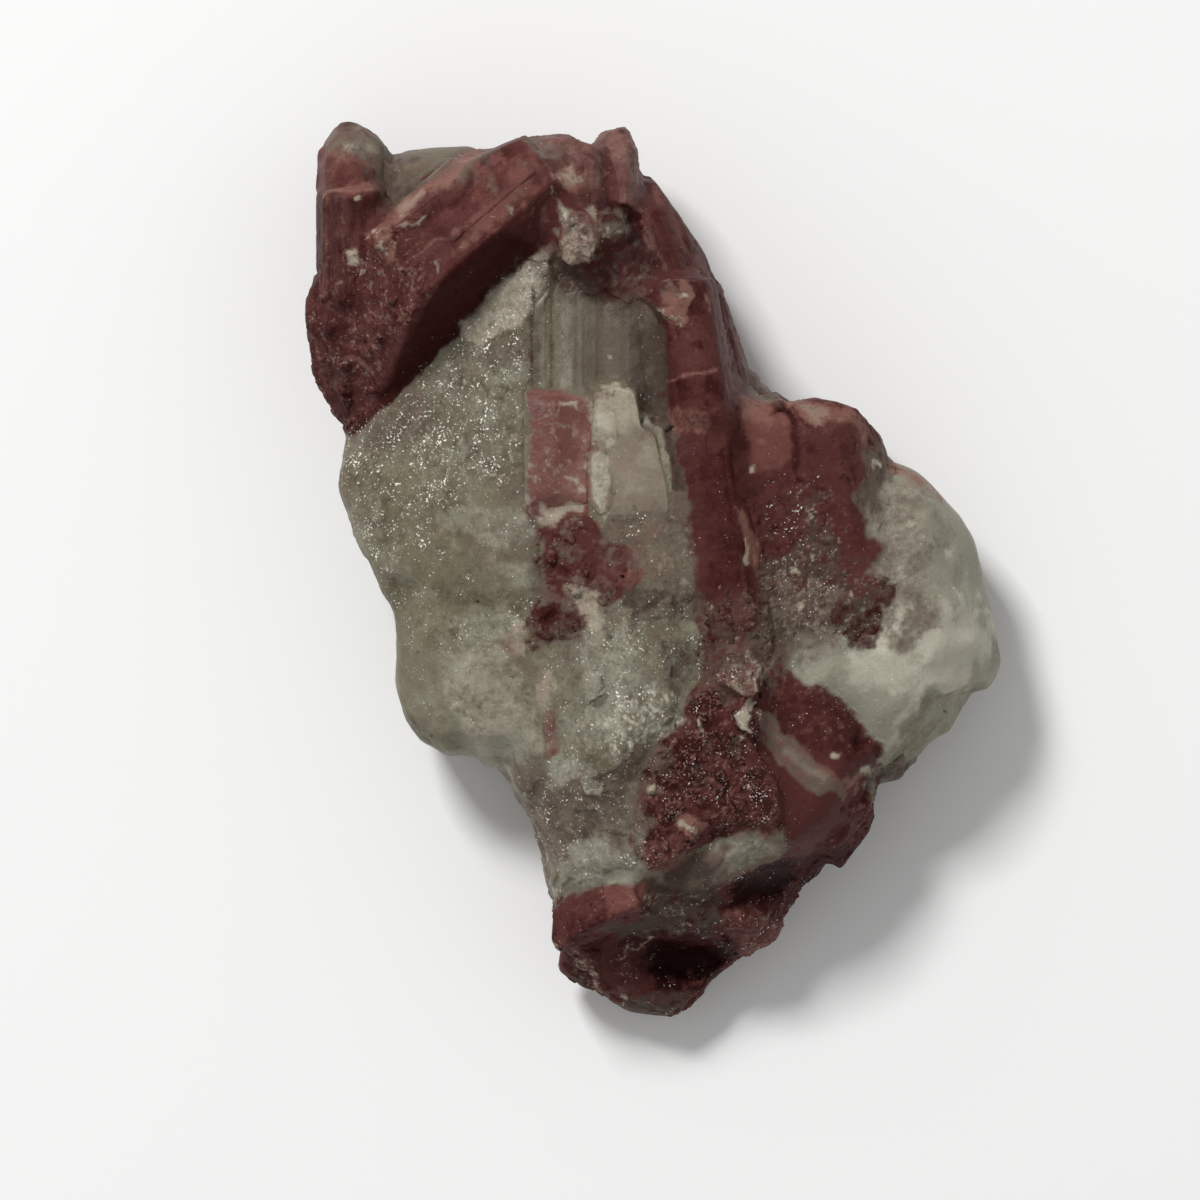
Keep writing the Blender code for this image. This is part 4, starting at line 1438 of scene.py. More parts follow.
DIAGONAL_COLOURS = (
    line(SALMON, 0.7, 13, "388,224 432,190 476,152", soft=5),
    line(CREAM, 0.35, 8, "404,213 424,197", soft=4),
    line(BLOOD, 0.6, 14, "425,226 462,193 505,156", soft=6),
    line(SALMON, 0.7, 15, "462,240 490,213 522,187", soft=7, ragged=12),
    line(SALMON, 0.45, 5, "418,262 450,238 478,216"),
    line(WINE, 0.35, 12, "440,256 480,222 520,190", soft=6),
    line(ROSE, 0.5, 18, "470,222 500,196 530,166", soft=9, ragged=18),
    patch(BLOOD, 0.35, "305,290 378,232 420,228 440,270 420,320 370,395 345,430 300,400"),
    cloud(ROSE, 0.4, "306,290 400,230 430,300 350,420 306,380", 0.5, 111, ragged=20),
    cloud(CREAM, 0.22, "306,290 400,225 432,310 360,400 306,380", 0.25, 112, ragged=20),
    patch(SALMON, 0.6, PALE_CHIP, soft=5, ragged=16),
    cloud(CREAM, 0.6, PALE_CHIP, 0.35, soft=5, ragged=16),
    line(CREAM, 0.5, 3, "402,224 418,226", ragged=10),
    cloud(SALMON, 0.5, "400,262 420,256 438,300 430,318 406,300", 0.4, 113, ragged=18),
    line(MILK, 0.5, 5, "436,270 440,277", ragged=12),
    line(MILK, 0.4, 4, "430,292", ragged=12),
    line(MILK, 0.4, 4, "504,204 511,210", ragged=12),
    line(SALMON, 0.45, 5, "318,362 345,357 372,372"),
    line(SALMON, 0.35, 5, "328,382 350,392"),
    line(BLOOD, 0.4, 24, "352,300 330,340 340,390"),
    # Painted shade: the side face turned away from the light, dark red crystal darkened further, darkest
    # along its lower edge as painted shadow
    patch(BLOOD, 0.8,
          "348,428 378,392 408,345 430,302 455,265 490,233 520,240 548,247 500,285 450,342 400,392 352,438",
          soft=6, ragged=4),
    line(BLOOD, 1.0, 15, "350,430 372,412 400,385 425,361 452,334", soft=3, ragged=5),
    line(DUSK, 0.35, 12, "352,432 400,388 450,338 500,280 545,244", soft=5, ragged=4),
    line(ROSE, 0.35, 10, "372,404 350,424", soft=5),
    cloud(ROSE, 0.7, "470,150 520,140 545,200 530,238 505,225", 0.6, 134, soft=14, ragged=26),
    cloud(FOG, 0.3, "480,150 540,140 560,200 530,238 505,225", 0.9, 135, soft=14, ragged=26),
)
FLANK_COLOURS = (
    patch(OLIVE, 0.35, "350,470 430,440 470,520 450,620 390,600", soft=24),
    # Painted shadow: greyer quartz where the diagonal crystal's shadow falls on the flank
    patch(FOG, 0.4, "352,424 450,350 500,340 470,400 390,440", soft=14),
    patch(FOG, 0.45, "348,430 420,395 440,420 380,455 350,450", soft=12),
    patch(FOG, 0.6, "478,336 526,330 528,366 486,366"),
    cloud(SMOKE, 0.5, "440,350 528,330 528,480 430,460", 0.4, 136, soft=18, ragged=22),
    cloud(FROST, 0.35, "440,350 528,330 528,500 380,480", 0.2, 137, soft=18, ragged=22),
    cloud(SMOKE, 0.22, "345,430 440,340 528,330 528,560 360,560", 0.9, 148, soft=20, ragged=24),
    patch(MILK, 0.5, "430,720 540,740 540,778 480,776 440,756", soft=16, ragged=24),
    patch(CREAM, 0.85, "455,338 480,346 500,331 526,322 546,292 549,262 540,252 520,262 490,290 470,318",
          soft=4, ragged=7),
    cloud(FOG, 0.3, SUGARY_SLOPE, 0.3, 125, ragged=16),
    cloud(SMOKE, 0.15, SUGARY_SLOPE, 0.18, 140, ragged=16),
    cloud(FROST, 0.9, SUGARY_SLOPE, 0.2, 126, ragged=10),
    patch(MILK, 0.5, "396,630 540,640 545,700 545,765 500,775 395,750", soft=40, ragged=34),
    patch(CREAM, 0.4, "430,630 520,640 540,740 500,765 450,735", soft=34, ragged=34),
    cloud(OLIVE, 0.45, "400,600 530,600 540,740 420,750", 1.1, 129, soft=30, ragged=30),
    cloud(FROST, 0.3, "430,650 530,650 545,740 470,760", 0.8, 130, soft=20, ragged=24),
    cloud(CREAM, 0.3, "350,430 420,560 530,600 528,400", 1.6, 139, soft=30, ragged=30),
    patch(OLIVE, 0.6, "390,640 438,645 440,700 402,706", soft=16, ragged=26),
    patch(OLIVE, 0.5, "410,716 456,722 458,756 424,748", soft=12, ragged=24),
    patch(OLIVE, 0.5, "380,590 440,600 430,650 395,640", soft=14),
    patch(SALMON, 0.45, "500,635 530,628 534,675 520,664", ragged=12),
    patch(CREAM, 0.45, "515,628 531,626 532,652 519,650", soft=4),
)
SPECKS = tuple(
    line(DUSK, 0.9, 3.2, place, soft=1.5, ragged=2)
    for place in "418,501 478,600 419,651 471,671 431,735 512,676 528,694".split()
)
CROWN_COLOURS = (
    cloud(SALMON, 0.3, "500,150 530,138 590,140 632,130 640,200 600,210 540,215 505,190", 0.6, 104, soft=14,
          ragged=20),
    cloud(WINE, 0.75, "480,145 530,130 590,135 632,125 645,225 600,215 540,240 505,225", 0.7, 105, soft=14,
          ragged=20),
    cloud(FOG, 0.5, "520,138 590,140 632,130 640,190 540,200", 0.7, 106, soft=14, ragged=20),
    patch(WINE, 0.55, "500,150 540,156 558,190 556,220 520,240 500,225", soft=10),
    patch(WINE, 0.5, "595,140 612,136 606,200 596,205"),
    patch(SALMON, 0.7, "556,168 575,160 594,170 594,197 575,204 558,192", soft=8),
    patch(CREAM, 0.35, "560,168 575,163 590,172 588,192 564,190", soft=8, ragged=16),
    cloud(WINE, 0.3, "556,160 596,160 598,204 556,204", 0.4, 146, soft=8, ragged=16),
    line(FOG, 0.6, 9, "528,141 545,145 560,156", soft=5, ragged=12),
    line(CREAM, 0.5, 4, "550,198 557,208 564,220", ragged=12),
    patch(ROSE, 0.5, "600,172 640,170 645,226 604,226", ragged=12),
    patch(SALMON, 0.5, "606,132 628,130 636,165 610,172"),
    # Painted shade in the cavity beside the crown: dark red with a near-black spot at its deepest
    patch(BLOOD, 0.85, "586,204 628,203 644,228 642,250 622,242 598,216", soft=5, ragged=8),
    line(DUSK, 0.7, 18, "632,236", soft=6),
    patch(FOG, 0.5, "530,250 562,255 560,300 530,290"),
    # Under the crown's lower edge: dark red mineral, with painted shadow from the crown over it
    patch(WINE, 0.8, "548,262 600,266 640,250 664,275 656,300 600,298 556,292", soft=6),
    cloud(FOG, 0.6, "600,250 650,245 664,285 606,298", 0.4, 107, soft=8, ragged=18),
    cloud(BLOOD, 0.6, "590,262 640,255 655,290 600,298", 0.4, 108, ragged=18),
    patch(SMOKE, 0.6, "548,262 590,268 600,300 552,302", ragged=16),
    cloud(CREAM, 0.2, "550,268 600,272 600,300 552,300", 0.22, 109, ragged=16),
    # Painted highlight on the lit left edge of the outer prism
    line(SALMON, 0.6, 3, "638,222 650,240 660,258 666,274", soft=2),
    patch(CREAM, 0.5, "556,220 575,213 594,214 600,235 602,250 594,266 578,272 558,268 554,250", soft=5,
          ragged=14),
    cloud(FOG, 0.8, CREAM_GRAINS, 0.35, soft=5, ragged=12),
    cloud(SALMON, 0.25, CREAM_GRAINS, 0.5, 110, soft=5, ragged=12),
    cloud(OLIVE, 0.3, "556,222 592,214 600,250 578,271 556,250", 0.6, 145, soft=5, ragged=12),
    patch(FOG, 0.7, "598,222 612,214 624,222 627,236 612,246 601,240", soft=4, ragged=12),
    cloud(CREAM, 0.5, "600,222 612,214 624,222 627,236 612,246 601,240", 0.4, soft=4, ragged=8),
    line(FROST, 1.0, 6, "566,221", ragged=8),
    line(FROST, 1.0, 4, "580,247", ragged=8),
    line(SALMON, 0.6, 6, "592,220 602,250"),
)
GLASS_COLOURS = (
    patch(FOG, 0.7, "592,296 662,286 690,330 690,440 640,440 632,385 600,385", soft=12),
    # Darker to the right and at the top: smoky mineral, with painted shade in the pocket and painted shadow
    # under the crown's ledge
    patch(SMOKE, 0.7, "628,318 690,322 690,436 640,440 636,385", soft=12, ragged=10),
    patch(SMOKE, 0.4, "596,294 655,284 640,318 600,312", soft=10),
    line(SMOKE, 0.7, 5, "533,292 533,388", ragged=1),
    line(SMOKE, 0.6, 5, "551,290 551,388", ragged=1),
    line(FOG, 0.6, 3, "577,296 577,388", ragged=2),
    line(MILK, 0.3, 7, "542,295 542,386", ragged=2),
    line(MILK, 0.3, 12, "564,300 564,388", ragged=3, soft=5),
    # Painted glints
    line(CREAM, 0.8, 4, "612,358"),
    line(CREAM, 0.8, 6, "602,388 618,386"),
)
ROSE_COLOURS = (
    patch(ROSE, 0.9, "530,390 560,391 578,398 592,402 594,430 596,447 588,470 588,516 530,516", soft=2.5,
          ragged=4),
    cloud(BLOOD, 0.35, "534,400 575,400 580,500 534,500", 0.7, 84, ragged=20),
    cloud(CREAM, 0.3, "532,394 594,404 590,512 532,512", 0.3, 85, ragged=16),
    cloud(CREAM, 0.55, "574,470 594,440 590,515 560,515", 0.7, 86, soft=8, ragged=16),
    patch(SALMON, 0.6, "573,422 594,424 594,444 574,442", ragged=8),
    # Painted highlight along the rose block's top edge, which faces the light
    line(SALMON, 0.6, 5, "532,392 560,393 590,403"),
    patch(CREAM, 0.85, "559,402 574,403 577,409 562,410", soft=3, ragged=14),
    patch(SALMON, 0.6, "560,468 590,466 588,512 556,508", ragged=16),
    line(CREAM, 0.6, 3, "566,478 580,492"),
    line(CREAM, 0.7, 8, "548,508 580,510", ragged=8),
)
PLATE_COLOURS = (
    patch(CREAM, 0.7, "594,400 632,388 642,428 618,440 596,415", soft=9),
    patch(FROST, 0.3, "600,394 634,388 640,420 612,430", soft=9, ragged=18),
    patch(OLIVE, 0.25, "606,394 632,392 636,424 612,430", soft=9, ragged=18),
    patch(FROST, 0.4, "596,412 615,410 620,442 612,453 598,446", soft=5, ragged=14),
    patch(FROST, 0.5, "588,456 602,450 614,482 612,512 598,519 586,502", soft=4, ragged=14),
    patch(ROSE, 0.3, "588,446 606,448 604,470 588,470", soft=5, ragged=12),
    cloud(MILK, 0.5, "630,470 672,470 680,518 620,518", 0.8, soft=12, ragged=20),
    patch(FOG, 0.4, "612,500 690,498 694,524 612,524", soft=9, ragged=16),
    patch(SALMON, 0.3, "604,450 632,455 634,478 612,476", soft=8),
    patch(CREAM, 0.35, "640,432 662,440 668,480 650,470", soft=8),
    # Pale line round the plates: a painted highlight on the top edge that faces the light, then the plates'
    # pale rim
    line(FROST, 0.5, 3, "604,393 618,389 634,394 640,426 660,436", ragged=7),
    line(FROST, 0.4, 3, "662,440 666,470 669,492 674,508", ragged=7),
    line(SMOKE, 0.4, 4, "604,520 690,520", ragged=4),
    # Painted shadow: the gap between the plates and the long crystal, dark grey where the plates shade it
    patch(FOG, 0.8, "664,434 681,436 688,512 670,505", soft=3),
    patch(SMOKE, 0.9, "663,434 681,438 685,492 667,486", soft=4),
    patch(WINE, 0.35, "664,440 680,440 684,480 667,476", soft=4),
    line(DUSK, 0.35, 7, "671,442 675,490", soft=3, ragged=8),
)
MIDDLE_COLOURS = (
    patch(FOG, 0.6, "598,518 694,518 700,610 650,600 600,560", soft=8),
    cloud(FROST, 0.3, "645,514 694,520 700,606 650,596", 0.35, 147, ragged=20),
    patch(SALMON, 0.3, "610,525 670,525 665,580 620,560", ragged=20),
    cloud(SMOKE, 0.35, "600,518 696,518 702,610 620,600", 0.6, 151, soft=10, ragged=22),
    patch(WINE, 0.7, "536,512 590,516 606,545 640,568 640,598 600,596 560,640 534,640 534,590 548,560",
          soft=6, ragged=14),
    cloud(FOG, 0.6, "534,520 640,520 650,600 560,640 534,640", 0.5, 121, ragged=20),
    cloud(BLOOD, 0.7, "534,520 600,520 620,590 560,640 534,640", 0.6, 122, ragged=20),
    cloud(SALMON, 0.4, "534,515 640,530 640,600 540,600", 0.3, 123, ragged=20),
    patch(CREAM, 0.55, "522,500 560,500 560,516 526,520", ragged=14),
    patch(ROSE, 0.3, "600,556 634,558 644,580 618,592 602,580", ragged=14),
    patch(BLOOD, 0.7, "534,598 560,600 582,618 580,644 545,644", ragged=10),
    patch(CREAM, 0.55, "566,590 600,592 606,622 582,628", soft=5),
    patch(FOG, 0.6, "536,560 548,556 552,600 538,610"),
    patch(MILK, 0.3, "548,650 600,612 694,640 690,700 650,750 600,765 550,745", soft=14, ragged=26),
    cloud(FOG, 0.6, "545,600 700,590 700,690 640,740 560,740", 1.3, soft=14),
    cloud(SMOKE, 0.6, "600,590 700,590 696,660 640,660 600,640", 0.7, 74, soft=10),
    patch(SMOKE, 0.7, "622,588 664,590 660,624 628,622", soft=8, ragged=22),
    cloud(SMOKE, 0.35, "550,640 690,640 690,714 560,720", 1.0, 75, soft=12, ragged=24),
    cloud(SMOKE, 0.35, "560,610 696,600 696,700 600,690", 0.2, 127, soft=12, ragged=24),
    cloud(WINE, 0.25, "640,600 700,600 696,720 650,740", 1.0, 128, soft=14, ragged=24),
    patch(FROST, 0.3, "600,690 674,688 662,754 606,752", soft=14, ragged=26),
    cloud(FROST, 1.0, "606,700 670,690 662,750 615,748", 0.18, 76, soft=9, ragged=22),
    patch(ROSE, 0.55, "543,716 549,708 561,711 558,744 554,760 544,758", soft=4, ragged=5),
    line(WINE, 0.6, 2.5, "545,716 545,758", ragged=2),
    patch(CREAM, 0.5, "538,680 560,680 558,706 545,714", soft=5, ragged=14),
    patch(SALMON, 0.25, "536,672 562,676 556,700 540,704"),
    patch(MILK, 0.85, "553,755 575,753 582,765 562,788 549,772", soft=3, ragged=6),
)
LEFT_FOOT_COLOURS = (
    patch(FOG, 0.75, "505,765 560,775 645,755 640,830 650,890 545,900 520,800", soft=12, ragged=22),
    cloud(MILK, 0.5, "505,765 645,755 640,850 545,870 520,800", 0.8, 77, soft=12, ragged=20),
    cloud(SMOKE, 0.6, "548,775 640,770 632,840 556,856", 1.0, 78, ragged=22),
    patch(SMOKE, 0.6, "572,808 594,808 596,852 576,852", ragged=16),
    patch(MILK, 0.75, "550,866 600,852 642,848 646,878 600,888 558,896", soft=12, ragged=22),
    cloud(FROST, 0.35, "560,862 632,852 628,874 566,884", 0.6, ragged=20),
    line(FROST, 0.5, 3, "566,768 590,780 598,790", ragged=14),
)
FOOT_COLOURS = (
    patch(WINE, 1.0, "548,925 640,888 720,886 790,830 880,800 880,900 760,970 700,1030 600,1020 546,990",
          soft=8, ragged=12),
    patch(BLOOD, 0.7, "552,930 600,945 612,990 560,985", ragged=14),
    line(ROSE, 0.6, 8, "566,940 590,962 600,990", soft=5, ragged=12),
    cloud(CREAM, 0.3, "552,942 604,950 612,1000 560,985", 0.22, 95, ragged=18),
    line(CREAM, 0.4, 2, "560,950 575,962 602,972", ragged=16),
    patch(WINE, 0.9, "562,905 580,898 620,884 650,880 652,900 645,917 620,935 585,955 560,940", soft=5,
          ragged=6),
    patch(BLOOD, 0.6, "562,925 600,905 612,925 585,950", soft=6, ragged=12),
    patch(ROSE, 0.7, "600,888 648,880 650,904 610,914", soft=3, ragged=5),
    line(BLOOD, 0.6, 3, "603,884 606,928", soft=2, ragged=4),
    cloud(SALMON, 0.3, "592,886 650,878 652,915 600,930", 0.45, 96, ragged=16),
    cloud(WINE, 0.6, "560,905 600,898 604,940 566,950", 0.6, 97, ragged=16),
    patch(SMOKE, 0.85, "640,880 670,884 720,880 728,925 690,945 640,948 612,940 618,920 646,905", soft=8,
          ragged=16),
    cloud(BLOOD, 0.7, "612,895 720,886 730,935 620,950", 0.7, 98, ragged=20),
    cloud(WINE, 0.35, "640,884 720,884 724,930 650,945", 0.35, 99, ragged=18),
    cloud(CREAM, 0.3, "640,900 700,896 700,940 640,946", 0.2, 100, ragged=18),
    # Painted shade: the hollow at the foot, dark red deepening to near-black
    patch(BLOOD, 0.95, "626,945 640,936 700,930 750,950 726,982 690,1004 630,992", soft=8, ragged=10),
    cloud(DUSK, 0.4, "640,884 720,882 728,925 690,945 640,948", 0.6, 150, soft=12, ragged=22),
    # Painted shade, near-black in the hollow
    patch(DUSK, 0.85, "645,946 690,938 740,952 718,978 690,986 645,970", soft=6, ragged=10),
    patch(DUSK, 0.6, "655,965 712,976 690,1005 650,996", soft=10),
    patch(WINE, 0.6, "606,975 644,972 650,1000 610,1004", ragged=12),
    patch(SMOKE, 0.7, "617,1002 650,996 684,1002 684,1026 615,1026", soft=8, ragged=10),
    cloud(WINE, 0.35, "620,1000 650,996 684,1002 684,1026 618,1026", 0.7, 138, soft=8, ragged=14),
    line(CREAM, 0.5, 2.5, "622,960 640,954 652,940", ragged=16),
    cloud(ROSE, 0.6, "722,890 800,880 790,940 728,960", 0.5, 101, ragged=20),
    cloud(CREAM, 0.25, "722,890 800,884 780,940 728,950", 0.25, 102, ragged=20),
    cloud(WINE, 0.7, "640,970 700,975 680,1010 630,1000", 0.5, 103, ragged=20),
    line(CREAM, 0.8, 5, "627,997"),
    patch(ROSE, 0.3, "722,908 785,908 780,945 728,960", ragged=18),
    # Painted shade on the faces that turn down and away from the light, near-black in the recess
    patch(BLOOD, 0.95, "722,905 735,880 775,860 880,830 876,900 790,925 740,915", soft=7, ragged=12),
    patch(DUSK, 0.95, "726,904 738,884 775,864 800,858 792,882 776,903", soft=7, ragged=10),
    line(WINE, 0.8, 8, "744,872 776,852 808,846", soft=4),
    # Painted shade on the lower right faces
    line(DUSK, 0.6, 16, "800,880 840,866 868,842", soft=8, ragged=16),
    patch(FOG, 0.95, "660,864 690,850 720,843 745,834 768,831 782,842 776,859 735,880 690,892 666,888",
          soft=6, ragged=10),
    patch(SMOKE, 0.75, "660,864 696,852 712,874 690,894 664,890", soft=8, ragged=14),
    patch(MILK, 0.6, "716,850 745,838 772,834 774,850 736,866", soft=8, ragged=14),
    line(SMOKE, 0.5, 4, "704,884 728,850", soft=3, ragged=6),
    line(SMOKE, 0.4, 3, "720,880 742,846", soft=3, ragged=6),
    line(MILK, 0.4, 3, "712,882 734,850", soft=3, ragged=6),
    cloud(FROST, 0.5, "734,841 762,837 762,850 738,856", 0.5, soft=5, ragged=14),
    line(SALMON, 0.6, 6, "762,836 772,812 778,790", soft=4),
)
MASS_COLOURS = (
    patch(WINE, 0.35, "640,760 700,690 752,696 768,770 775,835 700,845 650,872 632,830", ragged=20),
    patch(FOG, 0.35, "636,750 662,735 690,750 660,790 636,790", ragged=14),
    patch(ROSE, 0.25, "740,760 768,780 772,822 700,842 720,790", ragged=20),
    patch(ROSE, 0.5, "636,846 682,834 684,866 646,878", ragged=8),
    patch(BLOOD, 0.6, "700,690 724,700 716,750 670,772 690,720", ragged=14),
    cloud(DUSK, 0.6, "690,700 722,700 716,770 650,830 640,780", 0.9, 91, ragged=20),
    cloud(BLOOD, 0.65, CRUST, 0.6, 92, ragged=14),
    cloud(FOG, 0.45, "700,745 758,740 770,800 700,806", 0.8, 93, ragged=18),
    cloud(FOG, 0.4, "644,752 676,744 672,800 640,806", 0.6, 94, ragged=14),
    cloud(SALMON, 0.45, CRUST, 0.17, 141, ragged=14),
    cloud(DUSK, 0.45, CRUST, 0.2, 142, ragged=14),
    patch(ROSE, 0.7, "712,682 726,655 746,650 762,666 760,690 750,704 736,696", soft=5, ragged=14),
    cloud(CREAM, 0.6, "722,660 758,656 756,696 730,690", 0.4, soft=4, ragged=14),
    line(FROST, 0.6, 3, "748,652 762,668 754,694", ragged=10),
    patch(CREAM, 0.7, "728,712 745,707 758,718 751,734 735,728", soft=4, ragged=16),
    line(FROST, 0.7, 3, "730,716 750,732", ragged=10),
    patch(SALMON, 0.8, "678,820 700,820 702,838 682,838", soft=4, ragged=16),
    line(CREAM, 0.9, 4, "684,826 694,834", ragged=12),
    line(CREAM, 0.9, 6, "650,788"),
    line(CREAM, 0.8, 4, "696,720 704,732"),
    line(CREAM, 0.7, 4, "742,738"),
)
FAN_COLOURS = (
    patch(WINE, 0.95, "752,655 800,682 835,698 872,738 884,766 848,768 790,740 762,712", soft=6, ragged=8),
    patch(BLOOD, 0.5, "762,665 800,685 830,700 870,740 880,765 845,765 790,735 765,705", soft=8, ragged=10),
    cloud(ROSE, 0.4, "762,665 800,685 870,740 845,765 765,705", 0.4, 133, ragged=18),
    patch(FOG, 0.9, "758,715 770,711 785,729 800,744 820,764 842,786 840,799 810,790 795,775 765,741",
          soft=4, ragged=6),
    patch(SALMON, 0.3, FAN_EDGE, soft=6, ragged=12),
    line(MILK, 0.5, 8, "785,745 822,780", soft=6),
    line(SALMON, 0.4, 4, "760,736 790,768"),
    patch(ROSE, 0.3, FAN_EDGE, ragged=10),
    patch(WINE, 0.85, "745,745 756,736 768,753 786,777 808,797 832,807 872,828 830,856 785,842 770,795",
          soft=5, ragged=7),
    cloud(SALMON, 0.7, "828,764 858,766 872,782 866,826 846,812 838,790", 0.5, soft=5, ragged=18),
    line(CREAM, 0.8, 7, "833,756"),
    line(CREAM, 0.8, 7, "865,770"),
    line(BLOOD, 0.6, 14, "795,864 840,866 872,836", soft=6),
)
EDGE_COLOURS = (
    patch(WINE, 0.8, "704,296 718,300 734,350 745,396 732,400 714,340", soft=5, ragged=6),
    patch(WINE, 0.5, "640,165 672,190 707,255 714,280 690,275 655,240"),
    # Painted highlight on the lit left edge of the outer prism
    line(SALMON, 0.75, 4, "637,235 650,250 663,270"),
    line(SALMON, 0.35, 7, "655,190 680,235 700,270", soft=4),
    line(SALMON, 0.6, 4, "703,298 715,330 726,352 742,397"),
    patch(SALMON, 0.35, "722,300 745,352 742,372 728,340", soft=5),
    patch(FOG, 0.75, "733,344 748,364 775,388 797,397 780,407 765,408 744,396", soft=5, ragged=5),
    line(WINE, 0.75, 13, "714,300 730,345 742,388", soft=4, ragged=6),
    line(SALMON, 0.5, 3, "704,298 715,330 726,352 742,397", soft=2),
)
LONG_COLOURS = (
    patch(WINE, 1.0, "663,318 712,316 746,396 744,420 700,444 682,440 672,428 668,400 665,360", soft=3,
          ragged=3),
    patch(ROSE, 0.3, "662,318 706,312 716,370 668,380", ragged=16),
    patch(WINE, 0.5, "664,380 718,372 722,410 670,412"),
    line(SALMON, 0.7, 3.5, "666,381 690,373 716,370", soft=2),
    patch(SALMON, 0.5, "670,410 716,408 718,434 700,443 676,439", soft=5, ragged=10),
    cloud(SALMON, 0.6, "670,414 716,412 718,434 700,443 676,439", 0.25, 143, ragged=14),
    cloud(BLOOD, 0.75, "662,320 705,320 728,380 720,408 672,408", 0.8, 144, ragged=14),
    patch(SALMON, 0.8,
          "638,297 655,292 662,281 672,284 682,278 691,288 686,300 686,318 668,323 660,314 654,302", soft=3,
          ragged=8),
    cloud(CREAM, 0.75, "650,292 664,284 686,284 684,316 664,318", 0.5, soft=6, ragged=16),
    patch(WINE, 1.0, "681,438 705,432 740,404 745,440 739,480 742,550 754,590 704,604 694,545 686,500",
          soft=3, ragged=4),
    patch(BLOOD, 0.55, "680,440 742,440 742,540 752,585 704,592 690,520", soft=9, ragged=12),
    line(WINE, 0.4, 12, "690,445 700,540 702,600", soft=6),
    patch(SALMON, 0.65, "737,508 754,520 762,560 757,578 744,552", soft=4, ragged=6),
    line(CREAM, 0.7, 3, "742,538 748,562"),
    patch(FOG, 0.35, "695,600 775,595 775,690 700,700", ragged=26),
    patch(SMOKE, 0.35, "700,620 760,610 750,660 700,670", ragged=22),
    cloud(WINE, 0.4, "696,600 760,596 770,640 762,690 704,690", 0.5, 149, ragged=22),
    line(CREAM, 0.7, 4, "712,606"),
    line(CREAM, 0.7, 4, "735,640"),
    line(CREAM, 0.6, 4, "722,585"),
)
BLOCK_COLOURS = (
    patch(ROSE, 0.8, "741,405 757,399 768,414 781,417 789,430 794,456 780,466 760,481 750,460 744,440",
          soft=5, ragged=8),
    patch(SALMON, 0.6, "742,404 758,400 770,416 760,432 745,425"),
    patch(WINE, 0.8, "746,470 796,462 806,500 800,540 770,560 752,520", soft=8, ragged=16),
    cloud(SALMON, 0.5, "748,410 786,426 786,456 752,450", 0.6, soft=6, ragged=14),
    line(BLOOD, 0.9, 7, "782,400 791,424 797,450 800,480", soft=3, ragged=6),
    cloud(BLOOD, 0.5, "798,425 830,430 870,560 848,574 816,496", 0.8, 132, soft=8, ragged=16),
    line(SALMON, 0.4, 4, "786,402 800,430 808,460", soft=3, ragged=8),
    # Painted glint
    line(CREAM, 0.9, 5, "753,468"),
    patch(WINE, 0.35, "785,425 860,430 872,500 858,560 835,530 800,450", ragged=16),
    patch(SALMON, 0.7, "782,402 800,396 838,406 853,405 872,430 870,452 856,430 835,424 815,424 798,420",
          soft=4, ragged=8),
    patch(CREAM, 0.3, "803,403 828,407 824,421 806,419", soft=5, ragged=12),
    patch(BLOOD, 0.25, "803,440 826,450 850,540 842,570 812,490", ragged=10),
    patch(FOG, 0.65, "862,442 890,452 884,490 876,512 862,512", soft=11, ragged=20),
    patch(SMOKE, 0.5, "862,470 880,470 876,505 864,505", soft=9, ragged=20),
    # Painted glint
    line(FROST, 1.0, 8, "875,464", soft=3, ragged=8),
    patch(BLOOD, 0.75, "872,576 899,576 897,600 880,605 866,598", soft=4),
    patch(BLOOD, 0.75, "848,622 872,603 882,612 878,650 854,650 844,634", soft=4),
    patch(BLOOD, 0.7, "830,604 848,604 846,624 832,622", soft=4),
)
VALLEY_COLOURS = (
    patch(WINE, 0.95, "742,400 800,400 870,540 866,606 845,626 772,620 752,600 738,500", soft=10,
          ragged=16),
    patch(SMOKE, 0.65, "760,490 800,480 850,560 866,600 848,634 770,642 760,580", soft=10, ragged=24),
    patch(BLOOD, 0.6, "745,470 775,470 780,560 758,560", ragged=18),
    patch(FOG, 0.5, "772,575 830,570 835,615 775,625", ragged=24),
    line(WINE, 0.6, 12, "842,560 856,590", soft=6),
    cloud(WINE, 0.5, "756,440 850,440 866,600 845,640 770,640 758,560", 0.7, 131, ragged=20),
    cloud(CREAM, 0.3, "756,470 830,470 866,600 845,640 770,640 758,560", 0.17, 124, ragged=20),
    line(CREAM, 0.7, 4, "788,567 800,573", ragged=16),
    line(CREAM, 0.7, 4, "796,597 804,605", ragged=16),
    line(CREAM, 0.5, 2, "797,478 801,500 805,525", ragged=16),
    line(CREAM, 0.7, 3, "825,497", ragged=14),
    line(CREAM, 0.5, 3, "765,530 775,535", ragged=14),
)
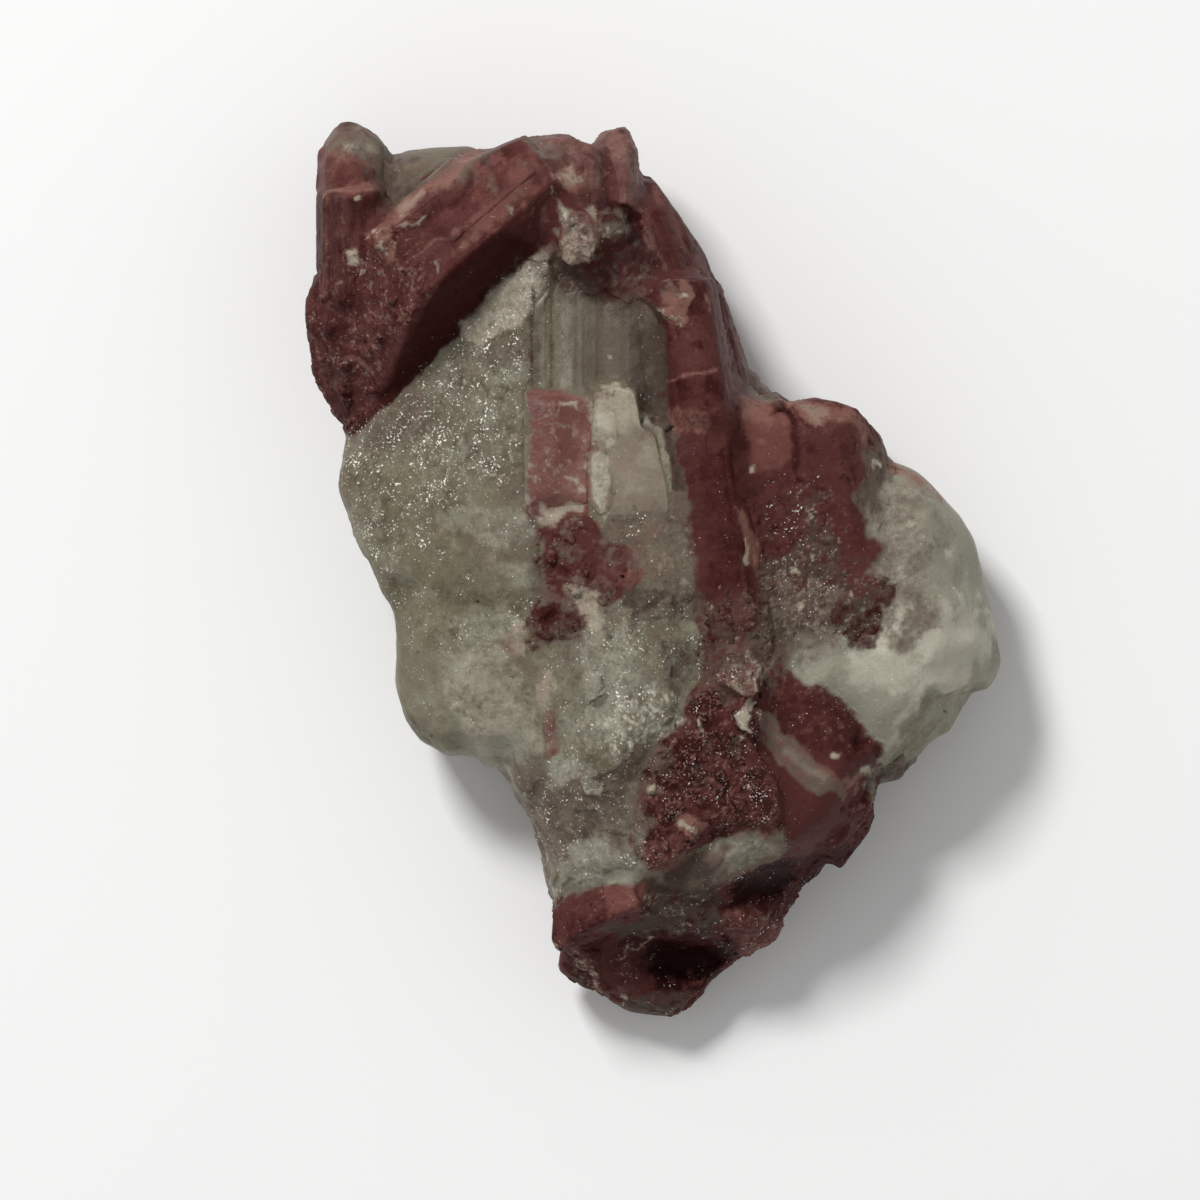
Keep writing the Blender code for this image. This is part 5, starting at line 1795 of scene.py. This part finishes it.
LOBE_COLOURS = (
    patch(MILK, 0.9, "868,600 862,500 890,455 1010,480 1010,690 930,790 880,790 800,690 780,640", soft=18,
          ragged=22),
    patch(FOG, 0.45, "858,484 925,478 935,560 930,630 890,650 858,590", soft=22, ragged=22),
    cloud(FOG, 0.3, "862,490 1000,480 1000,640 880,660", 2.2, soft=18, ragged=24),
    cloud(FOG, 0.35, "893,545 935,552 930,625 896,622", 0.9, 79, soft=20, ragged=30),
    patch(FROST, 0.95, "840,660 900,646 968,600 990,640 962,700 900,704 850,694", soft=24, ragged=26),
    cloud(FROST, 0.45, "868,520 960,510 996,600 990,690 900,700", 1.1, 81, soft=20, ragged=24),
    cloud(OLIVE, 0.3, "900,500 990,500 1000,640 940,760 880,760", 1.3, 83, soft=20, ragged=24),
    line(FROST, 0.8, 7, "948,616 968,612 985,616", soft=5, ragged=14),
    patch(FOG, 0.85, "768,628 842,628 846,660 778,664", soft=12),
    cloud(SMOKE, 0.4, "772,630 836,632 834,664 780,660", 0.8, soft=10),
    patch(SMOKE, 0.6, "752,616 780,622 784,690 756,690", soft=9, ragged=16),
    patch(MILK, 0.5, "800,640 860,650 850,690 810,680", soft=12, ragged=20),
    # The concave chip: olive quartz, darkened in part as painted shade
    patch(OLIVE, 0.55, "926,694 988,684 978,750 905,778 872,780 900,732", soft=3, ragged=7),
    patch(MILK, 0.6, "936,700 966,694 940,745 918,756", soft=9, ragged=16),
    # Painted highlight along the chip's edge that faces the light
    line(FROST, 0.5, 6, "921,692 897,728 868,772", soft=4, ragged=10),
    patch(SMOKE, 0.6, "878,764 940,752 936,792 868,792", soft=8),
    line(OLIVE, 0.4, 6, "968,500 984,560 990,600", soft=8, ragged=16),
    patch(SALMON, 0.6, "890,455 918,468 950,496 946,506 915,486 890,470", soft=6, ragged=8),
    line(DUSK, 0.6, 3, "962,664"),
    line(SMOKE, 0.6, 3, "908,530", soft=4),
)
LAYOUT = (
    *FLANK_COLOURS, *MIDDLE_COLOURS, *LEFT_FOOT_COLOURS, *LOBE_COLOURS, *VALLEY_COLOURS,
    *FOOT_COLOURS, *FAN_COLOURS, *MASS_COLOURS, *GLASS_COLOURS, *EDGE_COLOURS, *LONG_COLOURS,
    *BLOCK_COLOURS, *ROSE_COLOURS, *PLATE_COLOURS, *KNOB_COLOURS, *CORNER_COLOURS,
    *CROWN_COLOURS, *DIAGONAL_COLOURS, *SPECKS,
)

# The cluster's minerals

QUARTZ = StoneFinish(
    name="milky_quartz",
    body=seen(114, 107, 89),
    veil=seen(128, 123, 106),
    shade=seen(96, 88, 73),
    veil_size=2.6 * MM,
    glint_share=0.19,
    translucence=0.35,
    roughness=0.4,
    gloss=0.04,
)
RED = StoneFinish(
    name="red_tourmaline",
    body=seen(76, 40, 38),
    veil=seen(100, 62, 57),
    shade=seen(58, 24, 23),
    veil_size=1.5 * MM,
    mosaic=0.3 * MM,
    glint_share=0.07,
    glint_colour=(0.66, 0.56, 0.51),
    flake_share=0.04,
    bump=0.03 * MM,
    roughness=0.4,
    translucence=0.12,
    depth=0.5 * MM,
    gloss=0.03,
)


def prism_red(name: str, foot: Point, head: Point, **changes: object) -> StoneFinish:
    """The red finish with its streaks turned along a prism.

    Args:
        name: The finish's name.
        foot: The prism's foot on the plan, in pixels.
        head: The prism's head on the plan, in pixels.
        changes: What else differs from the plain red finish.

    Returns:
        The finish.
    """
    turn = math.atan2(foot[1] - head[1], head[0] - foot[0])
    return replace(RED, name=name, streak_turn=turn, **changes)


# Where the pieces differ on the plan

FLANK = within("345,425 450,340 545,250 548,290 530,330 530,500 545,560 535,640 520,650 400,640 330,520",
               soft=22, ragged=22)
CALM_FLANK = within("470,500 526,430 530,600 440,640 400,560 440,520", soft=24, ragged=34)
SLOPE = within(SUGARY_SLOPE, soft=6)
LOW_FLANK = within("395,650 540,650 545,700 545,765 500,775 395,750", soft=30, ragged=30)
MIDDLE = within("532,515 690,515 705,600 690,690 650,745 600,775 548,765 540,640", soft=8)
LOWER_LEFT = within("500,765 650,745 640,830 650,890 545,900 520,800", soft=8)
FOOT = within("550,925 640,890 720,890 870,830 860,900 700,1030 560,990", soft=8)
VALLEY = within("742,440 860,440 862,600 870,650 790,640 700,640 690,440", soft=10)
LOBE = within("862,600 862,500 890,455 1010,480 1010,690 930,790 880,790 800,690 780,640", soft=12)
VALLEY_FLOOR = within("756,470 800,462 830,480 862,600 870,650 790,640 764,600", soft=10)
RED_MASS = within("640,760 680,720 700,600 775,600 780,790 760,835 650,870", soft=8)
ALL_OVER = Everywhere()


# The cluster's pieces


@dataclass
class QuartzMatrix(GrownPiece):
    """The broken lump of quartz that carries the crystals."""

    node: str = "quartz_matrix"
    slot: str = "quartz"
    finish: StoneFinish = QUARTZ
    voxel: float = 0.172 * MM
    faces: int = 193000
    calm: float = 0.6
    calm_rounds: int = 12
    chip: Area = within("928,692 986,684 978,748 908,776 886,772 906,734", soft=4, ragged=4)
    reliefs: Reliefs = (
        Swell(3.5 * MM, 0.16 * MM),
        Shards(0.8 * MM, 0.08 * MM, FLANK),
        Shards(0.8 * MM, 0.04 * MM, LOW_FLANK),
        Shards(1.5 * MM, 0.22 * MM, MIDDLE),
        Shards(1.3 * MM, 0.20 * MM, VALLEY),
        Shards(1.6 * MM, 0.18 * MM, LOWER_LEFT),
        Shards(1.4 * MM, 0.22 * MM, FOOT),
        Shards(0.6 * MM, 0.10 * MM, FOOT, 14),
        Sink(chip, 0.6 * MM),
    )
    washes: tuple[Wash, ...] = (
        Wash(FOG, Drift(size=4 * MM), 0.5),
        Wash(MILK, Drift(size=3 * MM, salt=61), 0.5),
    )
    grit: float = 0.3
    gritty: Grits = (
        (FLANK, 1.0), (CALM_FLANK, 0.45), (MIDDLE, 0.8), (VALLEY, 0.9), (LOWER_LEFT, 0.8),
        (SLOPE, 0.9), (FOOT, 0.6), (LOBE, 0.15), (LOW_FLANK, 0.35),
    )
    bleed: Tint | None = WINE


@dataclass
class DiagonalCrystal(GrownPiece):
    """The thick striated prism across the upper left."""

    node: str = "diagonal_crystal"
    slot: str = "red_tourmaline"
    foot: Point = (298, 387)
    head: Point = (548, 170)
    broken_end: Area = within("300,290 378,225 420,222 440,270 420,320 370,395 345,440 300,400",
                              soft=10)
    finish: StoneFinish = prism_red("diagonal_red", foot, head, body=seen(84, 47, 44))
    faces: int = 100000
    calm: float = 0.5
    calm_rounds: int = 10
    reliefs: Reliefs = (
        Striae(foot, head, 0.5 * MM, 0.06 * MM),
        Shards(0.8 * MM, 0.16 * MM, broken_end),
        Shards(0.6 * MM, 0.03 * MM, ALL_OVER, 9),
    )
    grit: float = 0.15
    gritty: Grits = ((broken_end, 0.9),)


@dataclass
class CornerCrystal(GrownPiece):
    """The dark striated prism at the corner, with the soft pale knob at its head."""

    node: str = "corner_crystal"
    slot: str = "dark_tourmaline"
    foot: Point = (347, 318)
    head: Point = (347, 190)
    knob: Area = within("310,190 312,120 395,118 396,190", soft=8)
    prism: Area = within("305,196 390,196 380,320 305,320", soft=6)
    finish: StoneFinish = prism_red("corner_red", foot, head, body=seen(74, 45, 42))
    calm: float = 0.5
    calm_rounds: int = 16
    reliefs: Reliefs = (
        Swell(1.4 * MM, 0.25 * MM, knob),
        Striae(foot, head, 0.4 * MM, 0.07 * MM, prism),
        Shards(0.6 * MM, 0.03 * MM, prism),
    )
    grit: float = 0.2


@dataclass
class CrownCrystals(GrownPiece):
    """The soft mottled lumps at the top, with cream grains on them."""

    node: str = "crown_crystals"
    slot: str = "pale_tourmaline"
    grains: Area = within("556,214 592,212 630,218 628,246 600,270 560,272")
    broken_foot: Area = within("540,255 665,250 665,330 545,320")
    finish: StoneFinish = StoneFinish(
        name="pale_tourmaline",
        body=seen(108, 72, 66),
        veil=seen(132, 101, 91),
        shade=seen(66, 35, 33),
        veil_size=0.8 * MM,
        glint_share=0.07,
        roughness=0.5,
        translucence=0.2,
        gloss=0.15,
    )
    calm: float = 0.5
    calm_rounds: int = 14
    reliefs: Reliefs = (
        Swell(1.5 * MM, 0.20 * MM),
        Shards(0.35 * MM, 0.06 * MM),
        Shards(0.45 * MM, 0.14 * MM, grains),
        Shards(0.7 * MM, 0.14 * MM, broken_foot),
    )
    grit: float = 0.15
    gritty: Grits = ((grains, 1.0),)


@dataclass
class EdgeCrystal(GrownPiece):
    """The prism that runs down the upper right edge."""

    node: str = "edge_crystal"
    slot: str = "red_tourmaline"
    foot: Point = (743, 404)
    head: Point = (656, 178)
    finish: StoneFinish = prism_red("edge_red", foot, head, body=seen(84, 49, 46))
    calm: float = 0.5
    calm_rounds: int = 12
    reliefs: Reliefs = (
        Striae(foot, head, 0.5 * MM, 0.05 * MM),
        Shards(0.6 * MM, 0.05 * MM),
    )
    grit: float = 0.2


@dataclass
class LongCrystal(GrownPiece):
    """The long red prism, broken and stepped, with a granular foot."""

    node: str = "long_crystal"
    slot: str = "red_tourmaline"
    foot: Point = (736, 700)
    head: Point = (693, 400)
    granular_foot: Area = within("690,590 780,585 780,710 685,710", soft=10)
    lump: Area = within("636,288 660,270 704,272 702,330 650,336", soft=5)
    lump_top: Area = within("640,290 660,276 694,280 690,326 655,328", soft=5)
    lump_height: float = 16.3 * MM
    finish: StoneFinish = prism_red("long_red", foot, head, body=seen(68, 36, 34), streak_share=0.25)
    calm: float = 0.7
    calm_rounds: int = 45
    reliefs: Reliefs = (
        Striae(foot, head, 0.5 * MM, 0.03 * MM),
        Pressed(lump, lump_height, 0.25),
        Shards(0.45 * MM, 0.12 * MM, lump_top, 15),
        Shards(0.5 * MM, 0.14 * MM, granular_foot),
        Shards(0.6 * MM, 0.04 * MM, ALL_OVER, 7),
    )
    grit: float = 0.15
    gritty: Grits = ((granular_foot, 1.0),)


@dataclass
class CentralCrystal(GrownPiece):
    """The upright zoned crystal: glassy grey-green above, rose pink below."""

    node: str = "central_crystal"
    slot: str = "zoned_tourmaline"
    foot: Point = (553, 512)
    head: Point = (553, 276)
    left_groove: Area = along("533,296 533,388", 5, soft=3, ragged=0)
    middle_groove: Area = along("551,296 551,388", 5, soft=3, ragged=0)
    right_groove: Area = along("577,300 577,388", 3, soft=3, ragged=0)
    finish: StoneFinish = StoneFinish(
        name="zoned_tourmaline",
        body=seen(110, 101, 86),
        veil=seen(122, 114, 98),
        shade=seen(94, 83, 70),
        veil_size=2.0 * MM,
        glint_share=0.06,
        roughness=0.34,
        translucence=0.3,
        gloss=0.25,
        streak_turn=math.pi / 2,
        streak_share=0.6,
    )
    faces: int = 50000
    calm: float = 0.7
    calm_rounds: int = 40
    reliefs: Reliefs = (
        Striae(foot, head, 0.45 * MM, 0.04 * MM),
        Sink(middle_groove, 0.14 * MM),
        Sink(left_groove, 0.14 * MM),
        Sink(right_groove, 0.06 * MM),
    )
    grit: float = 0.3


@dataclass
class MiddleCrystal(GrownPiece):
    """The dark red broken stub under the rose block."""

    node: str = "middle_crystal"
    slot: str = "dark_tourmaline"
    finish: StoneFinish = replace(RED, name="middle_red")
    reliefs: Reliefs = (Shards(0.7 * MM, 0.22 * MM), Swell(1.2 * MM, 0.1 * MM))
    grit: float = 0.7


@dataclass
class CreamPlates(GrownPiece):
    """The cream cleavage plates beside the rose block."""

    node: str = "cream_plates"
    slot: str = "cream_feldspar"
    plate_height: float = 15.3 * MM
    finish: StoneFinish = StoneFinish(
        name="cream_feldspar",
        body=seen(134, 123, 107),
        veil=seen(148, 138, 122),
        shade=seen(114, 100, 86),
        veil_size=1.8 * MM,
        glint_share=0.03,
        bump=0.02 * MM,
        roughness=0.45,
        translucence=0.3,
    )
    calm: float = 0.5
    calm_rounds: int = 8
    reliefs: Reliefs = (
        Pressed(ALL_OVER, plate_height, 0.18),
        Shards(1.0 * MM, 0.05 * MM),
        Swell(0.8 * MM, 0.03 * MM),
    )
    grit: float = 0.15


@dataclass
class BlockCrystal(GrownPiece):
    """The short pink prism in the upper right."""

    node: str = "block_crystal"
    slot: str = "rose_tourmaline"
    foot: Point = (774, 492)
    head: Point = (762, 400)
    finish: StoneFinish = prism_red(
        "block_rose", foot, head, body=seen(100, 64, 59), veil=seen(120, 84, 77), streak_share=0.3
    )
    calm: float = 0.5
    calm_rounds: int = 12
    reliefs: Reliefs = (
        Striae(foot, head, 0.45 * MM, 0.05 * MM),
        Shards(0.7 * MM, 0.10 * MM),
    )
    grit: float = 0.4


@dataclass
class RightCrystal(GrownPiece):
    """The broad red prism under the right shoulder."""

    node: str = "right_crystal"
    slot: str = "red_tourmaline"
    foot: Point = (850, 560)
    head: Point = (812, 398)
    broken_end: Area = within("840,560 900,570 900,660 830,660", soft=6)
    finish: StoneFinish = prism_red("right_red", foot, head, body=seen(88, 52, 48), streak_share=0.3)
    calm: float = 0.5
    calm_rounds: int = 12
    reliefs: Reliefs = (
        Striae(foot, head, 0.5 * MM, 0.06 * MM),
        Shards(0.7 * MM, 0.16 * MM, broken_end),
        Shards(0.8 * MM, 0.08 * MM, ALL_OVER, 8),
    )
    grit: float = 0.3
    gritty: Grits = ((broken_end, 0.9),)


@dataclass
class FanCrystals(GrownPiece):
    """The prisms that fan out to the lower right."""

    node: str = "fan_crystals"
    slot: str = "red_tourmaline"
    foot: Point = (860, 800)
    head: Point = (760, 710)
    flakes: Area = within("828,760 880,765 880,825 830,825", soft=8)
    finish: StoneFinish = prism_red("fan_red", foot, head, body=seen(76, 41, 39))
    calm: float = 0.5
    calm_rounds: int = 8
    reliefs: Reliefs = (
        Striae(foot, head, 0.5 * MM, 0.06 * MM),
        Shards(0.7 * MM, 0.18 * MM, flakes),
        Shards(0.7 * MM, 0.07 * MM, ALL_OVER, 6),
    )
    grit: float = 0.35
    gritty: Grits = ((flakes, 0.9),)


@dataclass
class GranularMass(GrownPiece):
    """The dark red granular mass, with pale flakes on its head."""

    node: str = "granular_mass"
    slot: str = "dark_tourmaline"
    finish: StoneFinish = replace(
        RED, name="granular_red", body=seen(56, 28, 26), veil=seen(80, 49, 45),
        shade=seen(34, 12, 11), veil_size=0.8 * MM, mosaic_tone=0.25, glint_share=0.18,
        flake_size=0.2 * MM,
    )
    reliefs: Reliefs = (Shards(0.55 * MM, 0.08 * MM), Swell(1.6 * MM, 0.12 * MM))
    grit: float = 0.9


@dataclass
class RoseCrystal(GrownPiece):
    """The rose crystal at the foot's left."""

    node: str = "rose_crystal"
    slot: str = "rose_tourmaline"
    foot: Point = (554, 931)
    head: Point = (650, 892)
    finish: StoneFinish = prism_red(
        "foot_rose", foot, head, body=seen(78, 43, 40), veil=seen(96, 58, 53)
    )
    calm: float = 0.5
    calm_rounds: int = 8
    reliefs: Reliefs = (
        Striae(foot, head, 0.5 * MM, 0.06 * MM),
        Shards(0.9 * MM, 0.12 * MM),
    )
    grit: float = 0.4


@dataclass
class GrownSeams(GrownPiece):
    """The fine-grained filling of the seams, flush with the lower mineral beside it."""

    node: str = "grown_seams"
    slot: str = "quartz"
    finish: StoneFinish = replace(QUARTZ, name="seam_quartz", glint_share=0.14, translucence=0.2)
    step: float = 0.14 * MM
    reach: float = 0.6 * MM
    recess: float = 0.07 * MM
    burial: float = 0.35 * MM
    thickness: float = 1.0 * MM
    rim: float = 0.5 * MM
    footing: float = 2.0 * MM
    lap_steps: int = 3
    soft: float = 0.3 * MM
    crest: float = 0.25 * MM
    soft_bed: float = 0.7 * MM
    full_lift: float = 0.4 * MM
    full_room: float = 0.35 * MM
    seam_weight: float = 0.02
    first_red: float = 0.2
    red_span: float = 0.6
    reliefs: Reliefs = (
        Shards(0.6 * MM, 0.2 * MM, VALLEY_FLOOR),
        Shards(0.55 * MM, 0.08 * MM, RED_MASS, 16),
        Shards(0.5 * MM, 0.05 * MM, ALL_OVER, 12),
    )
    levels: tuple[Shallow, ...] = (
        Shallow(within("725,390 800,390 880,600 840,650 740,640", soft=16), 13.4 * MM),
        Shallow(within("730,650 800,670 870,760 800,850 740,850", soft=12), 13.8 * MM, 0.35),
        Shallow(within("590,506 700,506 700,590 640,600 600,560", soft=14), 15.4 * MM),
        Shallow(within("690,440 740,440 742,540 750,580 706,590", soft=10), 15.3 * MM, 0.05, 1.6 * MM),
        Shallow(within("640,430 690,440 694,530 640,524", soft=8), 15.45 * MM, 0.1),
        Shallow(within("586,512 690,510 694,545 600,545", soft=8), 15.5 * MM, 0.05),
        Shallow(within("540,140 566,138 582,170 580,205 562,236 540,236", soft=12), 18.4 * MM, 0.45,
                3 * MM),
        Shallow(within("752,612 790,622 802,660 790,704 752,704", soft=9), 13.3 * MM, 0.2),
        Shallow(within("744,690 775,690 780,748 752,748", soft=8), 14.4 * MM, 0.15),
    )
    plain: tuple[str, ...] = ("quartz_matrix_stone", "central_crystal_stone", "cream_plates_stone")
    grit: float = 0.5
    gritty: Grits = (
        (VALLEY_FLOOR, 1.0), (FLANK, 0.9), (RED_MASS, 0.9), (MIDDLE, 0.75),
    )
    ground: Tint | None = WINE

    def build_over(self, pieces: list[bpy.types.Object]) -> bpy.types.Object:
        """Builds the filling over the finished pieces.

        Args:
            pieces: The finished pieces, the quartz first.

        Returns:
            The finished piece.
        """
        ground = Skyline([Solid(piece.name, piece.data) for piece in pieces], self.step)
        filled = self.filled(ground)
        depth = filled - ground.top
        stone = (ground.top > self.footing).astype(float)
        inner = -ground.spread(-stone, self.rim) > 0.5
        seam = (depth > 0) & inner
        kept = (ground.spread(seam.astype(float), self.lap_steps * ground.step) > 0.5) & inner
        piece = self.sheet(ground, np.maximum(filled, ground.top - self.burial), kept)
        plan = Plan(self.read(piece.data.vertices, "co"))
        points = self.rippled(piece.data, plan, ground.read(depth, plan.points))
        self.write(piece.data, points)
        self.paint(piece.data, plan, self.redness(ground, seam, pieces, points))
        self.finished(piece)
        return piece

    def filled(self, ground: Skyline) -> np.ndarray:
        """The filling's upper surface, its steps softened and its hollows made shallow.

        Args:
            ground: The finished pieces' upper surface.

        Returns:
            Heights on the ground's grid.
        """
        closed = -ground.spread(-ground.spread(ground.top, self.reach), self.reach)
        places = Plan(ground.points(closed))
        lift = np.zeros(len(places.x))
        for level in self.levels:
            lift = np.maximum(lift, level.lift(places))
        raised = closed + lift.reshape(closed.shape)
        near = np.clip(ground.blurred(raised, self.soft), raised - self.soft, raised + self.crest)
        wide = ground.blurred(raised, self.soft_bed)
        share = eased(lift / self.full_lift).reshape(closed.shape)
        return near + share * (wide - near) - self.recess

    def rippled(self, mesh: bpy.types.Mesh, plan: Plan, depth: np.ndarray) -> np.ndarray:
        """The sheet's points with the reliefs worked in where the filling is deep.

        Args:
            mesh: The sheet.
            plan: Its points' places on the plan.
            depth: How deep the filling is at each point, in metres.

        Returns:
            The moved points, inside the solids' box.
        """
        normals = self.read(mesh.vertex_normals, "vector")
        room = eased(depth / self.full_room)[:, None]
        points = plan.points
        for relief in self.reliefs:
            points = points + room * relief.move(plan, normals)
        return np.clip(points, BOX[0] + BOX_MARGIN, BOX[1] - BOX_MARGIN)

    def redness(
        self, ground: Skyline, seam: np.ndarray, pieces: list[bpy.types.Object], points: np.ndarray
    ) -> np.ndarray:
        """How red the minerals around each point are.

        Args:
            ground: The finished pieces' upper surface.
            seam: Where the filling stands above them.
            pieces: The finished pieces.
            points: Positions in metres, three to a row.

        Returns:
            Shares from 0 to 1.
        """
        weight = np.where(seam, self.seam_weight, 1.0) * (ground.owner >= 0)
        plain = [place for place, piece in enumerate(pieces) if piece.name in self.plain]
        red = ground.blurred(weight * ~np.isin(ground.owner, plain), self.soft)
        share = ground.read(red / np.maximum(ground.blurred(weight, self.soft), 1e-3), points)
        return eased((share - self.first_red) / self.red_span)

    def sheet(
        self, ground: Skyline, heights: np.ndarray, kept: np.ndarray
    ) -> bpy.types.Object:
        """A closed sheet at some heights over the kept places.

        Args:
            ground: The grid.
            heights: The sheet's upper surface.
            kept: Where there is a sheet.

        Returns:
            The bare piece.
        """
        shape = bmesh.new()
        columns, rows = heights.shape
        bmesh.ops.create_grid(shape, x_segments=columns - 1, y_segments=rows - 1, size=1)
        gone = []
        for vert in shape.verts:
            column = round((vert.co.x + 1) / 2 * (columns - 1))
            row = round((vert.co.y + 1) / 2 * (rows - 1))
            if not kept[column, row]:
                gone.append(vert)
            vert.co = (ground.low[0] + column * self.step, ground.low[1] + row * self.step,
                       heights[column, row])
        bmesh.ops.delete(shape, geom=gone, context="VERTS")
        loose = [vert for vert in shape.verts if not vert.link_faces]
        bmesh.ops.delete(shape, geom=loose, context="VERTS")
        made = bmesh.ops.extrude_face_region(shape, geom=shape.faces[:], use_keep_orig=True)
        under = [item for item in made["geom"] if isinstance(item, bmesh.types.BMVert)]
        bmesh.ops.translate(shape, verts=under, vec=(0, 0, -self.thickness))
        bmesh.ops.recalc_face_normals(shape, faces=shape.faces)
        for face in shape.faces:
            face.smooth = True
        mesh = bpy.data.meshes.new(self.node)
        shape.to_mesh(mesh)
        shape.free()
        piece = bpy.data.objects.new(self.node, mesh)
        bpy.context.scene.collection.objects.link(piece)
        return piece


# The studio


@dataclass
class Studio:
    """A pale floor, a soft light and a camera that looks straight down."""

    floor_side: float = 1.6
    floor_drop: float = 0.02 * MM
    floor_colour: Colour = (0.93, 0.93, 0.925)
    floor_lighter: float = 1.02
    floor_cloud: float = 0.4
    floor_roughness: float = 0.9
    floor_gloss: float = 0.1
    sky: float = 0.42
    camera_height: float = 1.2
    focus_height: float = 0.009
    sensor: float = 36.0
    nearest: float = 0.01
    farthest: float = 10.0
    key_place: tuple[float, float, float] = (-0.26, 0.40, 0.62)
    key_size: float = 0.16
    key_power: float = 4.3

    def build(self) -> None:
        """Sets up the floor, the light and the camera."""
        self.lay_floor()
        self.set_light()
        self.set_camera()
        LOG.info("studio ready")

    def lay_floor(self) -> None:
        """Lays the floor just under the cluster."""
        shape = bmesh.new()
        bmesh.ops.create_grid(shape, x_segments=8, y_segments=8, size=self.floor_side / 2)
        bmesh.ops.translate(shape, verts=shape.verts, vec=(0, 0, -self.floor_drop))
        mesh = bpy.data.meshes.new("floor")
        shape.to_mesh(mesh)
        shape.free()
        floor = bpy.data.objects.new("floor", mesh)
        bpy.context.scene.collection.objects.link(floor)
        paint = Paint("pale_floor")
        coords = paint.node("TexCoord", {}, {}, "Object")
        cloud = paint.noise(coords, self.floor_cloud, 2)
        lighter = tuple(min(1.0, value * self.floor_lighter) for value in self.floor_colour)
        paint.feed(paint.shader.inputs["Base Color"],
                   paint.mixed(self.floor_colour, lighter, cloud))
        paint.shader.inputs["Roughness"].default_value = self.floor_roughness
        paint.shader.inputs["Specular IOR Level"].default_value = self.floor_gloss
        floor.data.materials.append(paint.material)

    def set_light(self) -> None:
        """Hangs the key light at the upper left and evens out the rest."""
        scene = bpy.context.scene
        scene.world = bpy.data.worlds.new("studio")
        scene.world.use_nodes = True
        sky = scene.world.node_tree.nodes["Background"]
        sky.inputs["Color"].default_value = (1.0, 1.0, 1.0, 1.0)
        sky.inputs["Strength"].default_value = self.sky
        light = bpy.data.lights.new("key", "AREA")
        light.size = self.key_size
        light.energy = self.key_power
        key = bpy.data.objects.new("key", light)
        key.location = self.key_place
        key.rotation_euler = (-Vector(self.key_place)).to_track_quat("-Z", "Y").to_euler()
        scene.collection.objects.link(key)

    def set_camera(self) -> None:
        """Places the camera so that the plan's frame fills the picture."""
        scene = bpy.context.scene
        scene.view_settings.view_transform = "Standard"
        data = bpy.data.cameras.new("camera")
        width = PICTURE_PX * PIXEL
        data.sensor_width = self.sensor
        data.lens = self.sensor * (self.camera_height - self.focus_height) / width
        data.clip_start = self.nearest
        data.clip_end = self.farthest
        camera = bpy.data.objects.new("camera", data)
        camera.location = (
            (PICTURE_PX / 2 - PLAN_CENTRE_PX[0]) * PIXEL,
            (PLAN_CENTRE_PX[1] - PICTURE_PX / 2) * PIXEL,
            self.camera_height,
        )
        scene.collection.objects.link(camera)
        scene.camera = camera


def main() -> None:
    logging.basicConfig(level=logging.INFO, format="%(name)s: %(message)s")
    solids = [Solid(name, node.data) for name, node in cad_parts.items()]
    skyline = Skyline(solids, SKYLINE_STEP)
    grown = [piece.build(solids, skyline) for piece in (
        QuartzMatrix(), DiagonalCrystal(), CornerCrystal(), CrownCrystals(), EdgeCrystal(),
        LongCrystal(), CentralCrystal(), MiddleCrystal(), CreamPlates(), BlockCrystal(),
        RightCrystal(), FanCrystals(), GranularMass(), RoseCrystal(),
    )]
    GrownSeams().build_over(grown)
    Studio().build()


if __name__ == "__main__":
    main()
